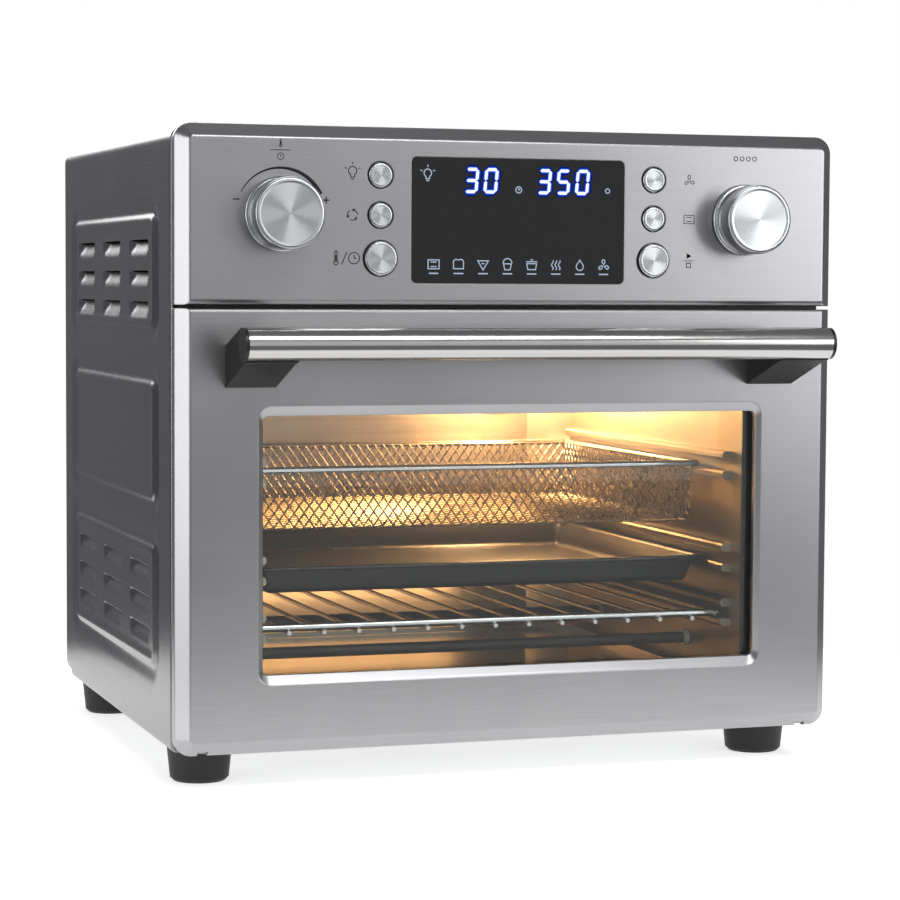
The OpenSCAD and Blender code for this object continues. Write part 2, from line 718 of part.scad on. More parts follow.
module fan_housing() color("lightgray") placed() difference() {
    z = cavity_z1 + sheet;
    translate([0, fan_d, z]) union() {
        cylinder(r = fan_r + 4, h = fan_can_h, $fn = 96);
        cylinder(r = fan_r + 12, h = sheet, $fn = 96);
    }
    translate([0, fan_d, z - 1]) cylinder(r = fan_r + 4 - sheet, h = fan_can_h + 1 - sheet, $fn = 96);
    translate([0, fan_d, z]) cylinder(r = shaft_r + run_gap + 0.3, h = fan_can_h + 2);
}

module fan_wheel() color("silver") placed() translate([0, fan_d, cavity_z1 + sheet + 3]) {
    wheel_r = fan_r - 6;
    difference() {
        cylinder(r = wheel_r, h = sheet, $fn = 96);
        for (i = [0:5]) rotate(i * 60 + 30) translate([wheel_r * 0.35, 0, -1]) cylinder(r = 5, h = 4);
    }
    // Curved blades stand on the disc
    for (i = [0:fan_blades - 1]) rotate(i * 360 / fan_blades)
        intersection() {
            translate([wheel_r * 0.45, wheel_r * 0.35, 0]) difference() {
                cylinder(r = wheel_r * 0.5, h = fan_can_h - 9);
                translate([0, 0, -1]) cylinder(r = wheel_r * 0.5 - 1.2, h = fan_can_h);
            }
            translate([wheel_r * 0.42, -wheel_r * 0.22, 0]) cube([wheel_r * 0.52, wheel_r * 0.3, fan_can_h]);
        }
    cylinder(r = 9, h = fan_can_h - 9);
    cylinder(r = shaft_r, h = motor_z + 14 - (cavity_z1 + sheet + 3));
}

module cooling_fan() color([0.85, 0.85, 0.8]) placed() translate([0, fan_d, cooling_z]) difference() {
    union() {
        cylinder(r = 10, h = 7);
        for (i = [0:6]) rotate(i * 360 / 7) translate([8, -7, 1.6]) rotate([24, 0, 0]) cube([motor_r + 8, 13, 1.4]);
    }
    translate([0, 0, -1]) cylinder(r = shaft_r + 0.02, h = 12);
}

motor_leg_r = 3;
module fan_motor() color("dimgray") placed() translate([0, fan_d, 0]) difference() {
    union() {
        translate([0, 0, motor_z]) cylinder(r = motor_r, h = motor_h);
        translate([0, 0, motor_z - 3]) cylinder(r = 10, h = 3);
        for (a = [0:90:270]) rotate(a + 45) {
            translate([motor_r + 20, 0, shield_z + sheet]) cylinder(r = motor_leg_r, h = motor_z - shield_z + 2);
            translate([motor_r - 2, -5, motor_z + 3 - sheet]) cube([28, 10, 3]);
        }
    }
    translate([0, 0, motor_z - 4]) cylinder(r = shaft_r + run_gap, h = 20);
}

lamp_hole_r = 17;
module lamp_holder() color("ivory") placed() difference() {
    rod_y(lamp_x, cavity_back + sheet, lamp_z, lamp_hole_r + 3, 24);
    rod_y(lamp_x, cavity_back, lamp_z, lamp_hole_r - 1.5, 16);
}

module lamp_bulb() color([1, 0.9, 0.6]) placed() {
    rod_y(lamp_x, cavity_back + 6, lamp_z, 6, 10);
    translate([lamp_x, cavity_back + 1, lamp_z]) sphere(r = 8);
}

module lamp_glass() color([0.9, 0.95, 1, 0.5]) placed()
    translate([lamp_x, cavity_back, lamp_z]) rotate([90, 0, 0]) rotate_extrude()
        polygon(concat([[0, 9], [0, 11]], arc(11, 90, 30, 6, [6, 0]) , [[21, 3], [21, 0], [lamp_hole_r - 2, 0]],
            arc(9, 30, 90, 6, [5, 0])));

/* ---- Accessories ---- */

rack_back = rear_stop - 4;
rack_z = rack_guide_z + slide_gap + rack_wire_d / 2;

module wire_rack() color("silver") placed() {
    r = rack_wire_d / 2;
    x = tray_x - r;
    for (d = [rack_front + r, rack_back - r]) rod_x(-x, d, rack_z, r, 2 * x);
    for (side = [-1, 1]) rod_y(side * x, rack_front + r, rack_z, r, rack_back - rack_front - 2 * r);
    for (side = [-1, 1], d = [rack_front + r, rack_back - r]) translate([side * x, d, rack_z]) sphere(r = r);
    count = floor((2 * x - 20) / rack_pitch / 2);
    for (i = [-count:count])
        rod_y(i * rack_pitch, rack_front - 1, rack_z - (r + rack_rod_d / 2) * 0.8, rack_rod_d / 2,
            rack_back - rack_front + 2);
}

pan_back = rear_stop - 2;
pan_rim_h = 2.6;
pan_rim_z = pan_guide_z + slide_gap;
pan_taper = 5;
pan_r = 14;

// Sloping tub of the pan, shrunk by a wall.
module pan_tub(wall) hull() {
    x = tray_x - 7 - wall;
    translate([0, 0, pan_rim_z + pan_rim_h - sheet + (wall > 0 ? 1 : 0)]) linear_extrude(0.01)
        round_rect([-x, pan_front + 7 + wall], [x, pan_back - 7 - wall], pan_r, $fn = 32);
    translate([0, 0, pan_rim_z + pan_rim_h - pan_deep + wall]) linear_extrude(0.01)
        round_rect([-x + pan_taper, pan_front + 7 + wall + pan_taper],
            [x - pan_taper, pan_back - 7 - wall - pan_taper], pan_r, $fn = 32);
}

module baking_pan() color([0.2, 0.2, 0.21]) placed() difference() {
    union() {
        pan_tub(0);
        // Flange and the bead rolled along its edge
        translate([0, 0, pan_rim_z + pan_rim_h - sheet]) linear_extrude(sheet)
            round_rect([-tray_x, pan_front], [tray_x, pan_back], pan_r);
        translate([0, 0, pan_rim_z]) linear_extrude(pan_rim_h) difference() {
            round_rect([-tray_x, pan_front], [tray_x, pan_back], pan_r);
            round_rect([-tray_x + 2, pan_front + 2], [tray_x - 2, pan_back - 2], pan_r - 2);
        }
    }
    pan_tub(sheet);
}

basket_back = rear_stop - 2;
basket_z = basket_guide_z + slide_gap + basket_wire_d / 2;
basket_wall = 1.2;
basket_x = tray_x - basket_wire_d;

module basket_rim() color("silver") placed() {
    r = basket_wire_d / 2;
    x = tray_x - r;
    for (d = [basket_front + r, basket_back - r]) rod_x(-x, d, basket_z, r, 2 * x);
    for (side = [-1, 1]) rod_y(side * x, basket_front + r, basket_z, r, basket_back - basket_front - 2 * r);
    for (side = [-1, 1], d = [basket_front + r, basket_back - r]) translate([side * x, d, basket_z]) sphere(r = r);
}

module basket_mesh() color("gold") placed() {
    lo = [-basket_x, basket_front + basket_wire_d];
    hi = [basket_x, basket_back - basket_wire_d];
    bottom = basket_z - basket_deep;
    difference() {
        block([lo[0], lo[1], bottom], [hi[0], hi[1], basket_z + 1]);
        block([lo[0] + basket_wall, lo[1] + basket_wall, bottom + basket_wall],
            [hi[0] - basket_wall, hi[1] - basket_wall, basket_z + 2]);
    }
}

crumb_back = cavity_back - bevel_d - 8;
module crumb_tray() color("gainsboro") placed() {
    z = cavity_z0 + slide_gap;
    x = cavity_x - 8;
    block([-x, crumb_front, z], [x, crumb_back, z + sheet]);
    for (side = [-1, 1]) block([side * x - (side + 1) / 2 * sheet, crumb_front, z],
        [side * x + (1 - side) / 2 * sheet, crumb_back, z + 5]);
    block([-x, crumb_back - sheet, z], [x, crumb_back, z + 5]);
    block([-x, crumb_front, z], [x, crumb_front + sheet, z + 11]);
    block([-x, crumb_front, z + 10], [x, crumb_front + 6, z + 11]);
}

/* ---- Door ---- */

door_lo = [-body_w / 2, 0];
door_hi = [body_w / 2, door_h];
handle_screw_zs = [handle_z - 18.5, handle_z - 8.5];
bracket_x = [handle_w / 2 - bracket_w, handle_w / 2];
bracket_mid = (bracket_x[0] + bracket_x[1]) / 2;

// Window's opening where its lip has narrowed it by the share t, grown by g.
lip_bevel = 2.5;
lip_r = 3.5;
module window_outline(t, g) {
    r = window_r + t * (lip_r - window_r) + g;
    x = window_x - t * lip_in + g - r;
    z = [window_z0 + t * lip_in_z - g + r, window_z1 - t * lip_in_z + g - r];
    points = concat(arc(r, 0, 90, 8, [x, z[1]]), arc(r, 90, 180, 8, [-x, z[1]]),
        arc(r, 180, 270, 8, [-x, z[0]]), arc(r, 270, 360, 8, [x, z[0]]));
    polygon([for (p = points) [round(p[0] * 1000), round(p[1] * 1000)] / 1000]);
}

// Plug of the window: the bevelled part of its lip, then the straight part back to the glass.
module window_plug(g, d0, d1) {
    hull() {
        along_y(d0, 0.02) window_outline(d0 / lip_bevel, g);
        along_y(lip_bevel - 0.02, 0.02) window_outline(1, g);
    }
    along_y(lip_bevel - 0.02, d1 - lip_bevel + 0.02) window_outline(1, g);
}

door_seam_r = 2;
module door_panel() color([0.6, 0.6, 0.61]) placed() difference() {
    union() {
        front_tray(door_lo, door_hi, 1, door_seam_r);
        window_plug(sheet, 0, lip_d);
    }
    window_plug(0, -0.3, lip_d + 0.3);
    both_sides() {
        // Notch in the lower edge for the hinge lug
        block([lug_x - lug_t / 2 - 1, axis_d - 3.7, -1], [lug_x + lug_t / 2 + 1, tray_d + 1, axis_z]);
        for (z = handle_screw_zs) rod_y(bracket_mid, -1, z, 2.1, 4);
    }
}

glass_hold = 5;
module door_inner() color("gainsboro") placed() difference() {
    e = sheet + seat_gap;
    along_y(glass_back, sheet) difference() {
        round_rect(door_lo + [e, e], door_hi - [e, e], tray_r - e);
        round_rect([-glass_x + glass_hold, glass_z0 + glass_hold], [glass_x - glass_hold, glass_z1 - glass_hold], 8);
    }
    both_sides() {
        block([lug_x - 10, 0, 0], [lug_x + 20, 20, axis_z + 10]);
        block([stay_x - stay_t / 2 - 0.2, 0, axis_z + stay_r - 5],
            [stay_x + stay_t / 2 + 0.2, 20, axis_z + stay_r + 5]);
    }
}

module door_glass() color([0.7, 0.75, 0.75, 0.35]) placed()
    along_y(glass_front, glass_t) round_rect([-glass_x, glass_z0], [glass_x, glass_z1], 12);

module glass_seal() color([0.15, 0.15, 0.15]) placed()
    along_y(glass_front, glass_t) difference() {
        round_rect([-glass_x - seal_t, glass_z0 - seal_t], [glass_x + seal_t, glass_z1 + seal_t], 12 + seal_t);
        round_rect([-glass_x, glass_z0], [glass_x, glass_z1], 12);
    }

// Pin, its two ears and the foot that is riveted to the door's inner sheet.
module door_pivots() color("darkgray") placed() both_sides() {
    gap = lug_t / 2 + 2;
    rod_x(lug_x - gap - ear_t - 0.5, axis_d, axis_z, pivot_r, 2 * (gap + ear_t) + 1);
    for (x = [lug_x - gap - ear_t, lug_x + gap]) difference() {
        along_x(x, x + ear_t) union() {
            translate([axis_d, axis_z]) circle(axis_z - sheet - seat_gap);
            translate([axis_d - axis_z + sheet + seat_gap, axis_z])
                square([glass_back - axis_d + axis_z - sheet - seat_gap, 18]);
        }
        rod_x(x - 1, axis_d, axis_z, pivot_r, ear_t + 2);
    }
    block([lug_x - gap - ear_t, glass_back - 1.5, axis_z + 10.5], [lug_x + gap + ear_t, glass_back, axis_z + 18]);
}

// Curved arm about the hinge axis, with a hook that stops the door when it is open.
stay_tail = 0.3;
stay_hook = 3.7;
stay_top = 89.5;
module stay_arms() color("darkgray") placed() both_sides() {
    pivot = [axis_d, axis_z];
    along_x(stay_x - stay_t / 2, stay_x + stay_t / 2) polygon(concat(
        arc(stay_r + stay_h / 2 + 6, stay_tail, stay_hook, 2, pivot),
        arc(stay_r + stay_h / 2, stay_hook, stay_top, 28, pivot),
        arc(stay_r - stay_h / 2, stay_top, stay_tail, 28, pivot)));
    block([stay_x - 5, glass_back - 1.5, axis_z + stay_r - 10], [stay_x + 5, glass_back, axis_z + stay_r + 10]);
}

spring_r = 3.2;
spring_wire = 1.4;
spring_turns = 34;
spring_front = axis_d + stay_r + stay_h / 2 + 6 + slide_gap;
spring_back = spring_front + 84;
spring_z = axis_z + 3.6;

// Close-wound extension spring, as a stack of its turns, with its two end hooks.
module door_springs() color("silver") placed() both_sides() {
    pitch = (spring_back - spring_front - 16) / spring_turns;
    translate([stay_x, spring_front + 8, spring_z]) rotate([-90, 0, 0]) rotate_extrude()
        polygon(concat([[spring_r - spring_wire, 0]],
            [for (i = [0:spring_turns - 1]) each [[spring_r - 0.5, i * pitch], [spring_r, (i + 0.5) * pitch]]],
            [[spring_r - 0.5, spring_turns * pitch], [spring_r - spring_wire, spring_turns * pitch]]));
    rod_y(stay_x, spring_front, spring_z, 0.7, 8.5);
    rod_y(stay_x, spring_back - 8.5, spring_z, 0.7, 8.5);
    for (d = [spring_front + 7.4, spring_back - 8.6]) rod_y(stay_x, d, spring_z, spring_r - 0.2, 1.2);
}

module door_screws() color("silver") placed() both_sides() for (z = handle_screw_zs) {
    rod_y(bracket_mid, -12, z, 2, 12 + sheet);
    rod_y(bracket_mid, sheet, z, 3.8, 2.6);
}

module handle_tube() color("silver") placed() difference() {
    rod_x(-handle_w / 2, -handle_out, handle_z, handle_d / 2, handle_w);
    rod_x(-handle_w / 2 - 1, -handle_out, handle_z, handle_d / 2 - handle_wall, handle_w + 2);
}

bracket_z = [handle_z - 25, handle_z - 1.5];
module handle_bracket() difference() {
    along_x(bracket_x[0], bracket_x[1])
        polygon([[0, bracket_z[0]], [0, bracket_z[1]], [-handle_out + handle_d * 0.62, handle_z + handle_d / 2],
            [-handle_out, handle_z + handle_d / 2 - 0.2], [-handle_out, handle_z],
            [-handle_out - 2, handle_z - handle_d / 2 - 0.5], [-handle_out + 4, handle_z - handle_d / 2 - 1.5]]);
    rod_x(bracket_x[0] - 1, -handle_out, handle_z, handle_d / 2, bracket_w + 2);
    for (z = handle_screw_zs) rod_y(bracket_mid, -12, z, 2, 13);
}

module handle_bracket_left() color([0.1, 0.1, 0.1]) placed() mirror([1, 0, 0]) handle_bracket();
module handle_bracket_right() color([0.1, 0.1, 0.1]) placed() handle_bracket();

module handle_caps() color([0.1, 0.1, 0.1]) placed() both_sides() {
    rod_x(handle_w / 2, -handle_out, handle_z, handle_d / 2, 2);
    rod_x(handle_w / 2 - 12, -handle_out, handle_z, handle_d / 2 - handle_wall, 12);
}

// Lugs on the front frame that hold the pivot pins.
module hinge_lugs() color("darkgray") placed() both_sides() {
    difference() {
        along_x(lug_x - lug_t / 2, lug_x + lug_t / 2) {
            translate([axis_d, axis_z]) circle(axis_z - 1);
            translate([axis_d, axis_z - 2.5]) square([frame_d - axis_d, 5]);
        }
        rod_x(lug_x - lug_t, axis_d, axis_z, pivot_r + run_gap, 2 * lug_t);
    }
    block([lug_x - 4, frame_d - 0.8, axis_z - 2.5], [lug_x + 4, frame_d, axis_z + 10]);
}

/* ---- Controls ---- */

fascia_lo = [-body_w / 2, fascia_z];
fascia_hi = [body_w / 2, body_h];
fascia_seam_r = 3;
ring_wall = 0.4;
post_screw_r = 1.25;
board_x = body_w / 2 - 40;
board_z = [fascia_z + 7, body_h - 10];
post_places = [for (x = [-1, 1], z = [fascia_z + 14, body_h - 14]) [x * (body_w / 2 - 20), z]];
standoff_places = [for (x = [-1, 1], z = [board_z[0] + 4, board_z[1] - 4]) [x * 112, z]];
button_places = [
    for (side = [-1, 1]) each [
        [side * button_x, fascia_z + button_top_rise, button_small_d],
        [side * button_x, fascia_z + button_mid_rise, button_small_d],
        [side * button_x, fascia_z + button_low_rise, button_large_d]
    ]
];

module control_fascia() color([0.66, 0.66, 0.67]) placed() difference() {
    union() {
        front_tray(fascia_lo, fascia_hi, -1, fascia_seam_r);
        for (place = post_places) rod_y(place[0], sheet, place[1], 3.5, frame_d - sheet);
        for (place = standoff_places) rod_y(place[0], sheet, place[1], 2.5, board_d - sheet);
    }
    for (side = [-1, 1]) rod_y(side * knob_x, -1, knob_z, knob_shaft_r + 1.5, 4);
    for (place = button_places) rod_y(place[0], -1, place[1], place[2] / 2 + slide_gap + ring_wall + 0.05, 4);
    along_y(-1, 4) round_rect([-display_w / 2 - 0.1, display_z - 0.1],
        [display_w / 2 + 0.1, display_z + display_h + 0.1], 3.1);
    for (place = post_places) rod_y(place[0], frame_d - 8, place[1], post_screw_r + run_gap, 9);
}

module display_lens() color([0.03, 0.03, 0.05]) placed() {
    along_y(-0.4, sheet + 0.4) round_rect([-display_w / 2, display_z],
        [display_w / 2, display_z + display_h], 3);
    along_y(sheet, 1.2) round_rect([-display_w / 2 - 4, display_z - 4],
        [display_w / 2 + 4, display_z + display_h + 4], 3);
}

module display_module() color([0.1, 0.12, 0.2]) placed() {
    block([-display_w / 2 + 4, sheet + 1.2, display_z + 4],
        [display_w / 2 - 4, board_d, display_z + display_h - 4]);
}

module control_board() color("darkgreen") placed() {
    block([-board_x, board_d, board_z[0]], [board_x, board_d + board_t, board_z[1]]);
    // Tact switches behind the buttons
    for (place = button_places)
        block([place[0] - 3, board_d - 1, place[1] - 3], [place[0] + 3, board_d, place[1] + 3]);
    block([-40, board_d + board_t, board_z[0] + 20], [-10, board_d + board_t + 5, board_z[0] + 50]);
    block([30, board_d + board_t, board_z[0] + 30], [60, board_d + board_t + 9, board_z[0] + 38]);
}

power_size = [75, 90];
power_rise = 6;
module power_board() color("olivedrab") placed() {
    z = shield_z + sheet + power_rise;
    lo = [cavity_x - 0.7 * power_size[0], cavity_back - 1.2 * power_size[1]];
    hi = lo + power_size;
    block([lo[0], lo[1], z], [hi[0], hi[1], z + board_t]);
    for (x = [lo[0] + 5, hi[0] - 5], d = [lo[1] + 5, hi[1] - 5])
        translate([x, d, shield_z + sheet]) cylinder(r = 2.5, h = power_rise);
    // Relays, transformer and capacitors
    for (i = [0:2]) block([lo[0] + 8 + 22 * i, lo[1] + 10, z + board_t],
        [lo[0] + 24 + 22 * i, lo[1] + 36, z + board_t + 15]);
    block([lo[0] + 10, lo[1] + 46, z + board_t], [lo[0] + 40, lo[1] + 76, z + board_t + 24]);
    for (i = [0:1]) translate([lo[0] + 56, lo[1] + 52 + 20 * i, z + board_t]) cylinder(r = 6, h = 18);
}

bush_outer = 4;
module encoders() color("silver") placed() for (side = [-1, 1]) difference() {
    union() {
        block([side * knob_x - 6, board_d - 6, knob_z - 6], [side * knob_x + 6, board_d, knob_z + 6]);
        rod_y(side * knob_x, sheet + seat_gap, knob_z, bush_outer, board_d - 6 - sheet);
    }
    rod_y(side * knob_x, -1, knob_z, knob_shaft_r + run_gap, board_d - 1);
}

module button_rings() color([0.12, 0.12, 0.12]) placed() for (place = button_places) {
    r = place[2] / 2 + slide_gap;
    difference() {
        union() {
            rod_y(place[0], -0.2, place[1], r + ring_wall, sheet + 1);
            rod_y(place[0], sheet, place[1], r + ring_wall + 0.8, 0.8);
        }
        rod_y(place[0], -2, place[1], r, 8);
    }
}

// Spun cap with a bevelled face, a waist near its foot, and its shaft.
module knob(x) placed() translate([x, 0, knob_z]) rotate([-90, 0, 0]) {
    r = knob_d / 2;
    rotate_extrude($fn = 96)
        polygon([[0, -knob_out], [r - 1.4, -knob_out], [r - 0.4, -knob_out + 0.5], [r, -knob_out + 1.6],
            [r, -6], [r - 1, -5], [r - 1, -4], [r + 0.8, -3], [r + 0.8, -0.8], [0, -0.8]]);
    translate([0, 0, -1]) cylinder(r = knob_shaft_r, h = board_d - 2);
}

module knob_left() color("gainsboro") knob(-knob_x);
module knob_right() color("gainsboro") knob(knob_x);

// Cap, the flange that keeps it behind its ring, and the stem to its switch.
module push_button(place) placed() translate([place[0], 0, place[1]]) rotate([-90, 0, 0]) {
    r = place[2] / 2;
    reach = place[2] > button_small_d ? 2.6 : 1.4;
    rotate_extrude() polygon([[0, -reach], [r - 0.6, -reach], [r, -reach + 0.6], [r, sheet + 1.1],
        [r + slide_gap + 0.7, sheet + 1.1], [r + slide_gap + 0.7, sheet + 2], [0, sheet + 2]]);
    cylinder(r = 2, h = board_d - 1 - button_travel - 0.15);
}

module button_light() color("gainsboro") push_button(button_places[0]);
module button_turn() color("gainsboro") push_button(button_places[1]);
module button_mode() color("gainsboro") push_button(button_places[2]);
module button_fry() color("gainsboro") push_button(button_places[3]);
module button_bake() color("gainsboro") push_button(button_places[4]);
module button_start() color("gainsboro") push_button(button_places[5]);

// Screws of the back cover and of the fascia's posts.
module casing_screws() color("silver") placed() {
    for (place = cover_screws) {
        rod_y(place[0], body_d - 9, place[1], 1.6, 9.5);
        rod_y(place[0], body_d, place[1], 3.4, 1.8);
    }
    for (place = post_places) {
        rod_y(place[0], frame_d - 7, place[1], post_screw_r, 7 + sheet + 0.5);
        rod_y(place[0], frame_back, place[1], 3.2, 1.8);
    }
}

housing_wrap();
back_cover();
wall_spacers();
cord_gland();
base_plate();
foot_front_left();
foot_front_right();
foot_rear_left();
foot_rear_right();
front_frame();
cavity_wall();
cavity_ceiling();
cavity_floor();
heat_shield();
heater_lower();
heater_upper();
heater_bushings();
temperature_probe();
fan_guard();
fan_housing();
fan_motor();
fan_wheel();
cooling_fan();
lamp_holder();
lamp_bulb();
lamp_glass();
wire_rack();
baking_pan();
basket_rim();
basket_mesh();
crumb_tray();
door_panel();
door_inner();
door_glass();
glass_seal();
door_pivots();
stay_arms();
door_screws();
handle_tube();
handle_bracket_left();
handle_bracket_right();
handle_caps();
hinge_lugs();
door_springs();
control_fascia();
display_lens();
display_module();
control_board();
power_board();
encoders();
button_rings();
knob_left();
knob_right();
button_light();
button_turn();
button_mode();
button_fry();
button_bake();
button_start();
casing_screws();
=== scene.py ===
import math

import bmesh
import bpy
from mathutils import Matrix, Vector


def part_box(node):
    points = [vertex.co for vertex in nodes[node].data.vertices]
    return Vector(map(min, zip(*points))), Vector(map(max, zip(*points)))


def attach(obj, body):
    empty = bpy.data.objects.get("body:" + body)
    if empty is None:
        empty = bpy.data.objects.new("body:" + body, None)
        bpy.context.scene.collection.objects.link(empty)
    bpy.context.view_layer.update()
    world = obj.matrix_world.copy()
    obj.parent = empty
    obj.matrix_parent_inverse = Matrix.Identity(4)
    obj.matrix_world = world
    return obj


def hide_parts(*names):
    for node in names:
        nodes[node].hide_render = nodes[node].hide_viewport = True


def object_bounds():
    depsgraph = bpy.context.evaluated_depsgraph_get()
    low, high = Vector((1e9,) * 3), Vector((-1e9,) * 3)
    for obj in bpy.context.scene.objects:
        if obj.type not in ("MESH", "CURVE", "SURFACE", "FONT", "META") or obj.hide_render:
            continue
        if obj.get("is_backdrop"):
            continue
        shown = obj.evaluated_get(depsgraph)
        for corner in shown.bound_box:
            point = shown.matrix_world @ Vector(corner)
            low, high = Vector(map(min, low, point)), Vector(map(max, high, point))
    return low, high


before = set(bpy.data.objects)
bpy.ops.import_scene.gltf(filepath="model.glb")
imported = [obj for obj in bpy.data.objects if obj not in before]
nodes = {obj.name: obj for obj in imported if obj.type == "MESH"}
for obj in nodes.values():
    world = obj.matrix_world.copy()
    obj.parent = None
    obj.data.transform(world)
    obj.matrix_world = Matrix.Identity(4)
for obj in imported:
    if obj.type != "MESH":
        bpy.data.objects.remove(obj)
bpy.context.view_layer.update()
MM = 0.001

# ---- Camera ----
# A long lens held level with the control panel, well to the left of the oven's middle.
# It looks slightly down, so the front fills the view and the left side shows in full.
CAMERA_PLACE = (-0.5236, -1.5977, 0.28686)
TURN_RIGHT, TIP_DOWN, ROLL = (math.radians(angle) for angle in (18.458, 3.576, 0.305))
camera = bpy.data.objects.new("camera", bpy.data.cameras.new("camera"))
camera.data.sensor_width = 36
camera.data.lens = 107.083
camera.matrix_world = (
    Matrix.Translation(CAMERA_PLACE)
    @ Matrix.Rotation(-TURN_RIGHT, 4, "Z")
    @ Matrix.Rotation(math.pi / 2 - TIP_DOWN, 4, "X")
    @ Matrix.Rotation(ROLL, 4, "Z")
)
bpy.context.scene.collection.objects.link(camera)
bpy.context.scene.camera = camera
bpy.context.scene.view_settings.view_transform = "Standard"

# ---- Studio floor ----
# A pale matt disc of paper under the oven. Its faint glow makes the camera, glass and metal
# see it white, and it still takes the oven's soft shadow.
FLOOR_R = 0.52
FLOOR_SIDES = 64
FLOOR_GLOW = 0.66


def linear(colour):
    """sRGB hex to the linear colour that a shader takes."""
    parts = [int(colour[i:i + 2], 16) / 255 for i in (1, 3, 5)]
    return [c / 12.92 if c <= 0.04045 else ((c + 0.055) / 1.055) ** 2.4 for c in parts] + [1.0]


def new_material(name):
    """Empty node material, returned with its tree."""
    material = bpy.data.materials.new(name)
    material.use_nodes = True
    material.node_tree.nodes.clear()
    return material, material.node_tree


def add(tree, kind, settings=None, links=None):
    """One shader node. Settings go to its sockets or properties, links join outputs to its sockets."""
    node = tree.nodes.new("ShaderNode" + kind)
    for key, value in (settings or {}).items():
        if isinstance(key, int) or key in node.inputs:
            node.inputs[key].default_value = value
        else:
            setattr(node, key, value)
    for key, source in (links or {}).items():
        output = source.outputs[0] if isinstance(source, bpy.types.Node) else source
        tree.links.new(output, node.inputs[key])
    return node


def background_rays(tree):
    """Two outputs that are 1 on a ray from the camera or through glass, and on a ray from gloss."""
    rays = add(tree, "LightPath")
    through = add(tree, "Math", {"operation": "MAXIMUM"}, {
        0: rays.outputs["Is Camera Ray"], 1: rays.outputs["Is Transmission Ray"]})
    return through, rays.outputs["Is Glossy Ray"]


floor_mesh = bpy.data.meshes.new("studio_floor")
turns = [2 * math.pi * i / FLOOR_SIDES for i in range(FLOOR_SIDES)]
rim = [(FLOOR_R * math.cos(turn), FLOOR_R * math.sin(turn), 0) for turn in turns]
floor_mesh.from_pydata(rim, [], [range(FLOOR_SIDES)])
floor = bpy.data.objects.new("studio_floor", floor_mesh)
bpy.context.scene.collection.objects.link(floor)
paper, tree = new_material("matt_studio_paper")
through, glossy = background_rays(tree)
seen = add(tree, "Math", {"operation": "MAXIMUM"}, {0: through, 1: glossy})
matt = add(tree, "BsdfDiffuse", {"Color": linear("#F2F2F2")})
glow = add(tree, "Emission", {"Color": linear("#FFFFFF"), "Strength": FLOOR_GLOW})
add(tree, "OutputMaterial", {}, {"Surface": add(tree, "AddShader", {}, {
    0: matt, 1: add(tree, "MixShader", {}, {0: seen, 2: glow})})})
floor_mesh.materials.append(paper)
floor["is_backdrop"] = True

# ---- Studio light ----
# Grey walls round the oven, and white behind it for the camera and the glass. Soft boxes stand at
# the left for the pressed edges, in front and above for the brushed steel, and behind for the rear.
# Gloss sees white only close to BACKDROP_WAY, between these two cosines of the angle from it.
BACKDROP_WAY = (0.32, 0.947, 0.0)
BACKDROP_EDGE, BACKDROP_FULL = 0.93, 0.985
world = bpy.data.worlds.new("studio")
world.use_nodes = True
bpy.context.scene.world = world
tree = world.node_tree
tree.nodes.clear()
through, glossy = background_rays(tree)
way = add(tree, "TexCoord")
behind = add(tree, "VectorMath", {"operation": "DOT_PRODUCT", 1: BACKDROP_WAY}, {0: way.outputs["Generated"]})
backdrop = add(tree, "MapRange", {"From Min": BACKDROP_EDGE, "From Max": BACKDROP_FULL},
               {"Value": behind.outputs["Value"]})
gloss_sees = add(tree, "Math", {"operation": "MULTIPLY"}, {0: backdrop, 1: glossy})
seen = add(tree, "Math", {"operation": "MAXIMUM"}, {0: through, 1: gloss_sees})
grey = add(tree, "Background", {"Color": linear("#77787A"), "Strength": 1.0})
white = add(tree, "Background", {"Color": linear("#FFFFFF"), "Strength": 1.0})
add(tree, "OutputWorld", {}, {"Surface": add(tree, "MixShader", {}, {0: seen, 1: grey, 2: white})})


def soft_box(name, place, target, width, height, strength):
    """White rectangular lamp that faces a target point. Strength is in watts."""
    lamp = bpy.data.lights.new(name, "AREA")
    lamp.shape = "RECTANGLE"
    lamp.size, lamp.size_y = width, height
    lamp.energy = strength
    holder = bpy.data.objects.new(name, lamp)
    holder.location = place
    holder.rotation_euler = (Vector(target) - Vector(place)).to_track_quat("-Z", "Y").to_euler()
    bpy.context.scene.collection.objects.link(holder)


soft_box("left_box", (-2.1, -0.75, 0.5), (-0.2, -0.15, 0.2), 0.6, 1.5, 10.5)
soft_box("front_right_box", (1.6, -2.0, 0.7), (0, -0.15, 0.2), 1.1, 1.2, 15)
soft_box("front_wall", (0.0, -3.3, 0.8), (0, 0, 0.3), 3.2, 1.8, 8.5)
soft_box("front_top_box", (0.35, -1.85, 2.05), (0, -0.15, 0.2), 1.3, 0.8, 24)
soft_box("rear_box", (-0.6, 2.1, 1.0), (-0.2, 0, 0.2), 1.6, 0.5, 9)
soft_box("top_box", (-0.1, 1.2, 2.1), (0, 0, 0.2), 1.6, 1.0, 20)

# ---- Casing ----
# One stainless sheet is bent over the top and both sides, with three raised fields pressed into each
# side and slotted scoops in two of them. A drawn cover closes the back, and a plated sheet the bottom.
SHEET = 1.0
CORNER_R, FOOT_R, LIP = 10.0, 4.0, 6.0
# The front edge rolls in over its first few millimetres
FRONT_ROLL, ROLL_IN = 2.2, 0.6
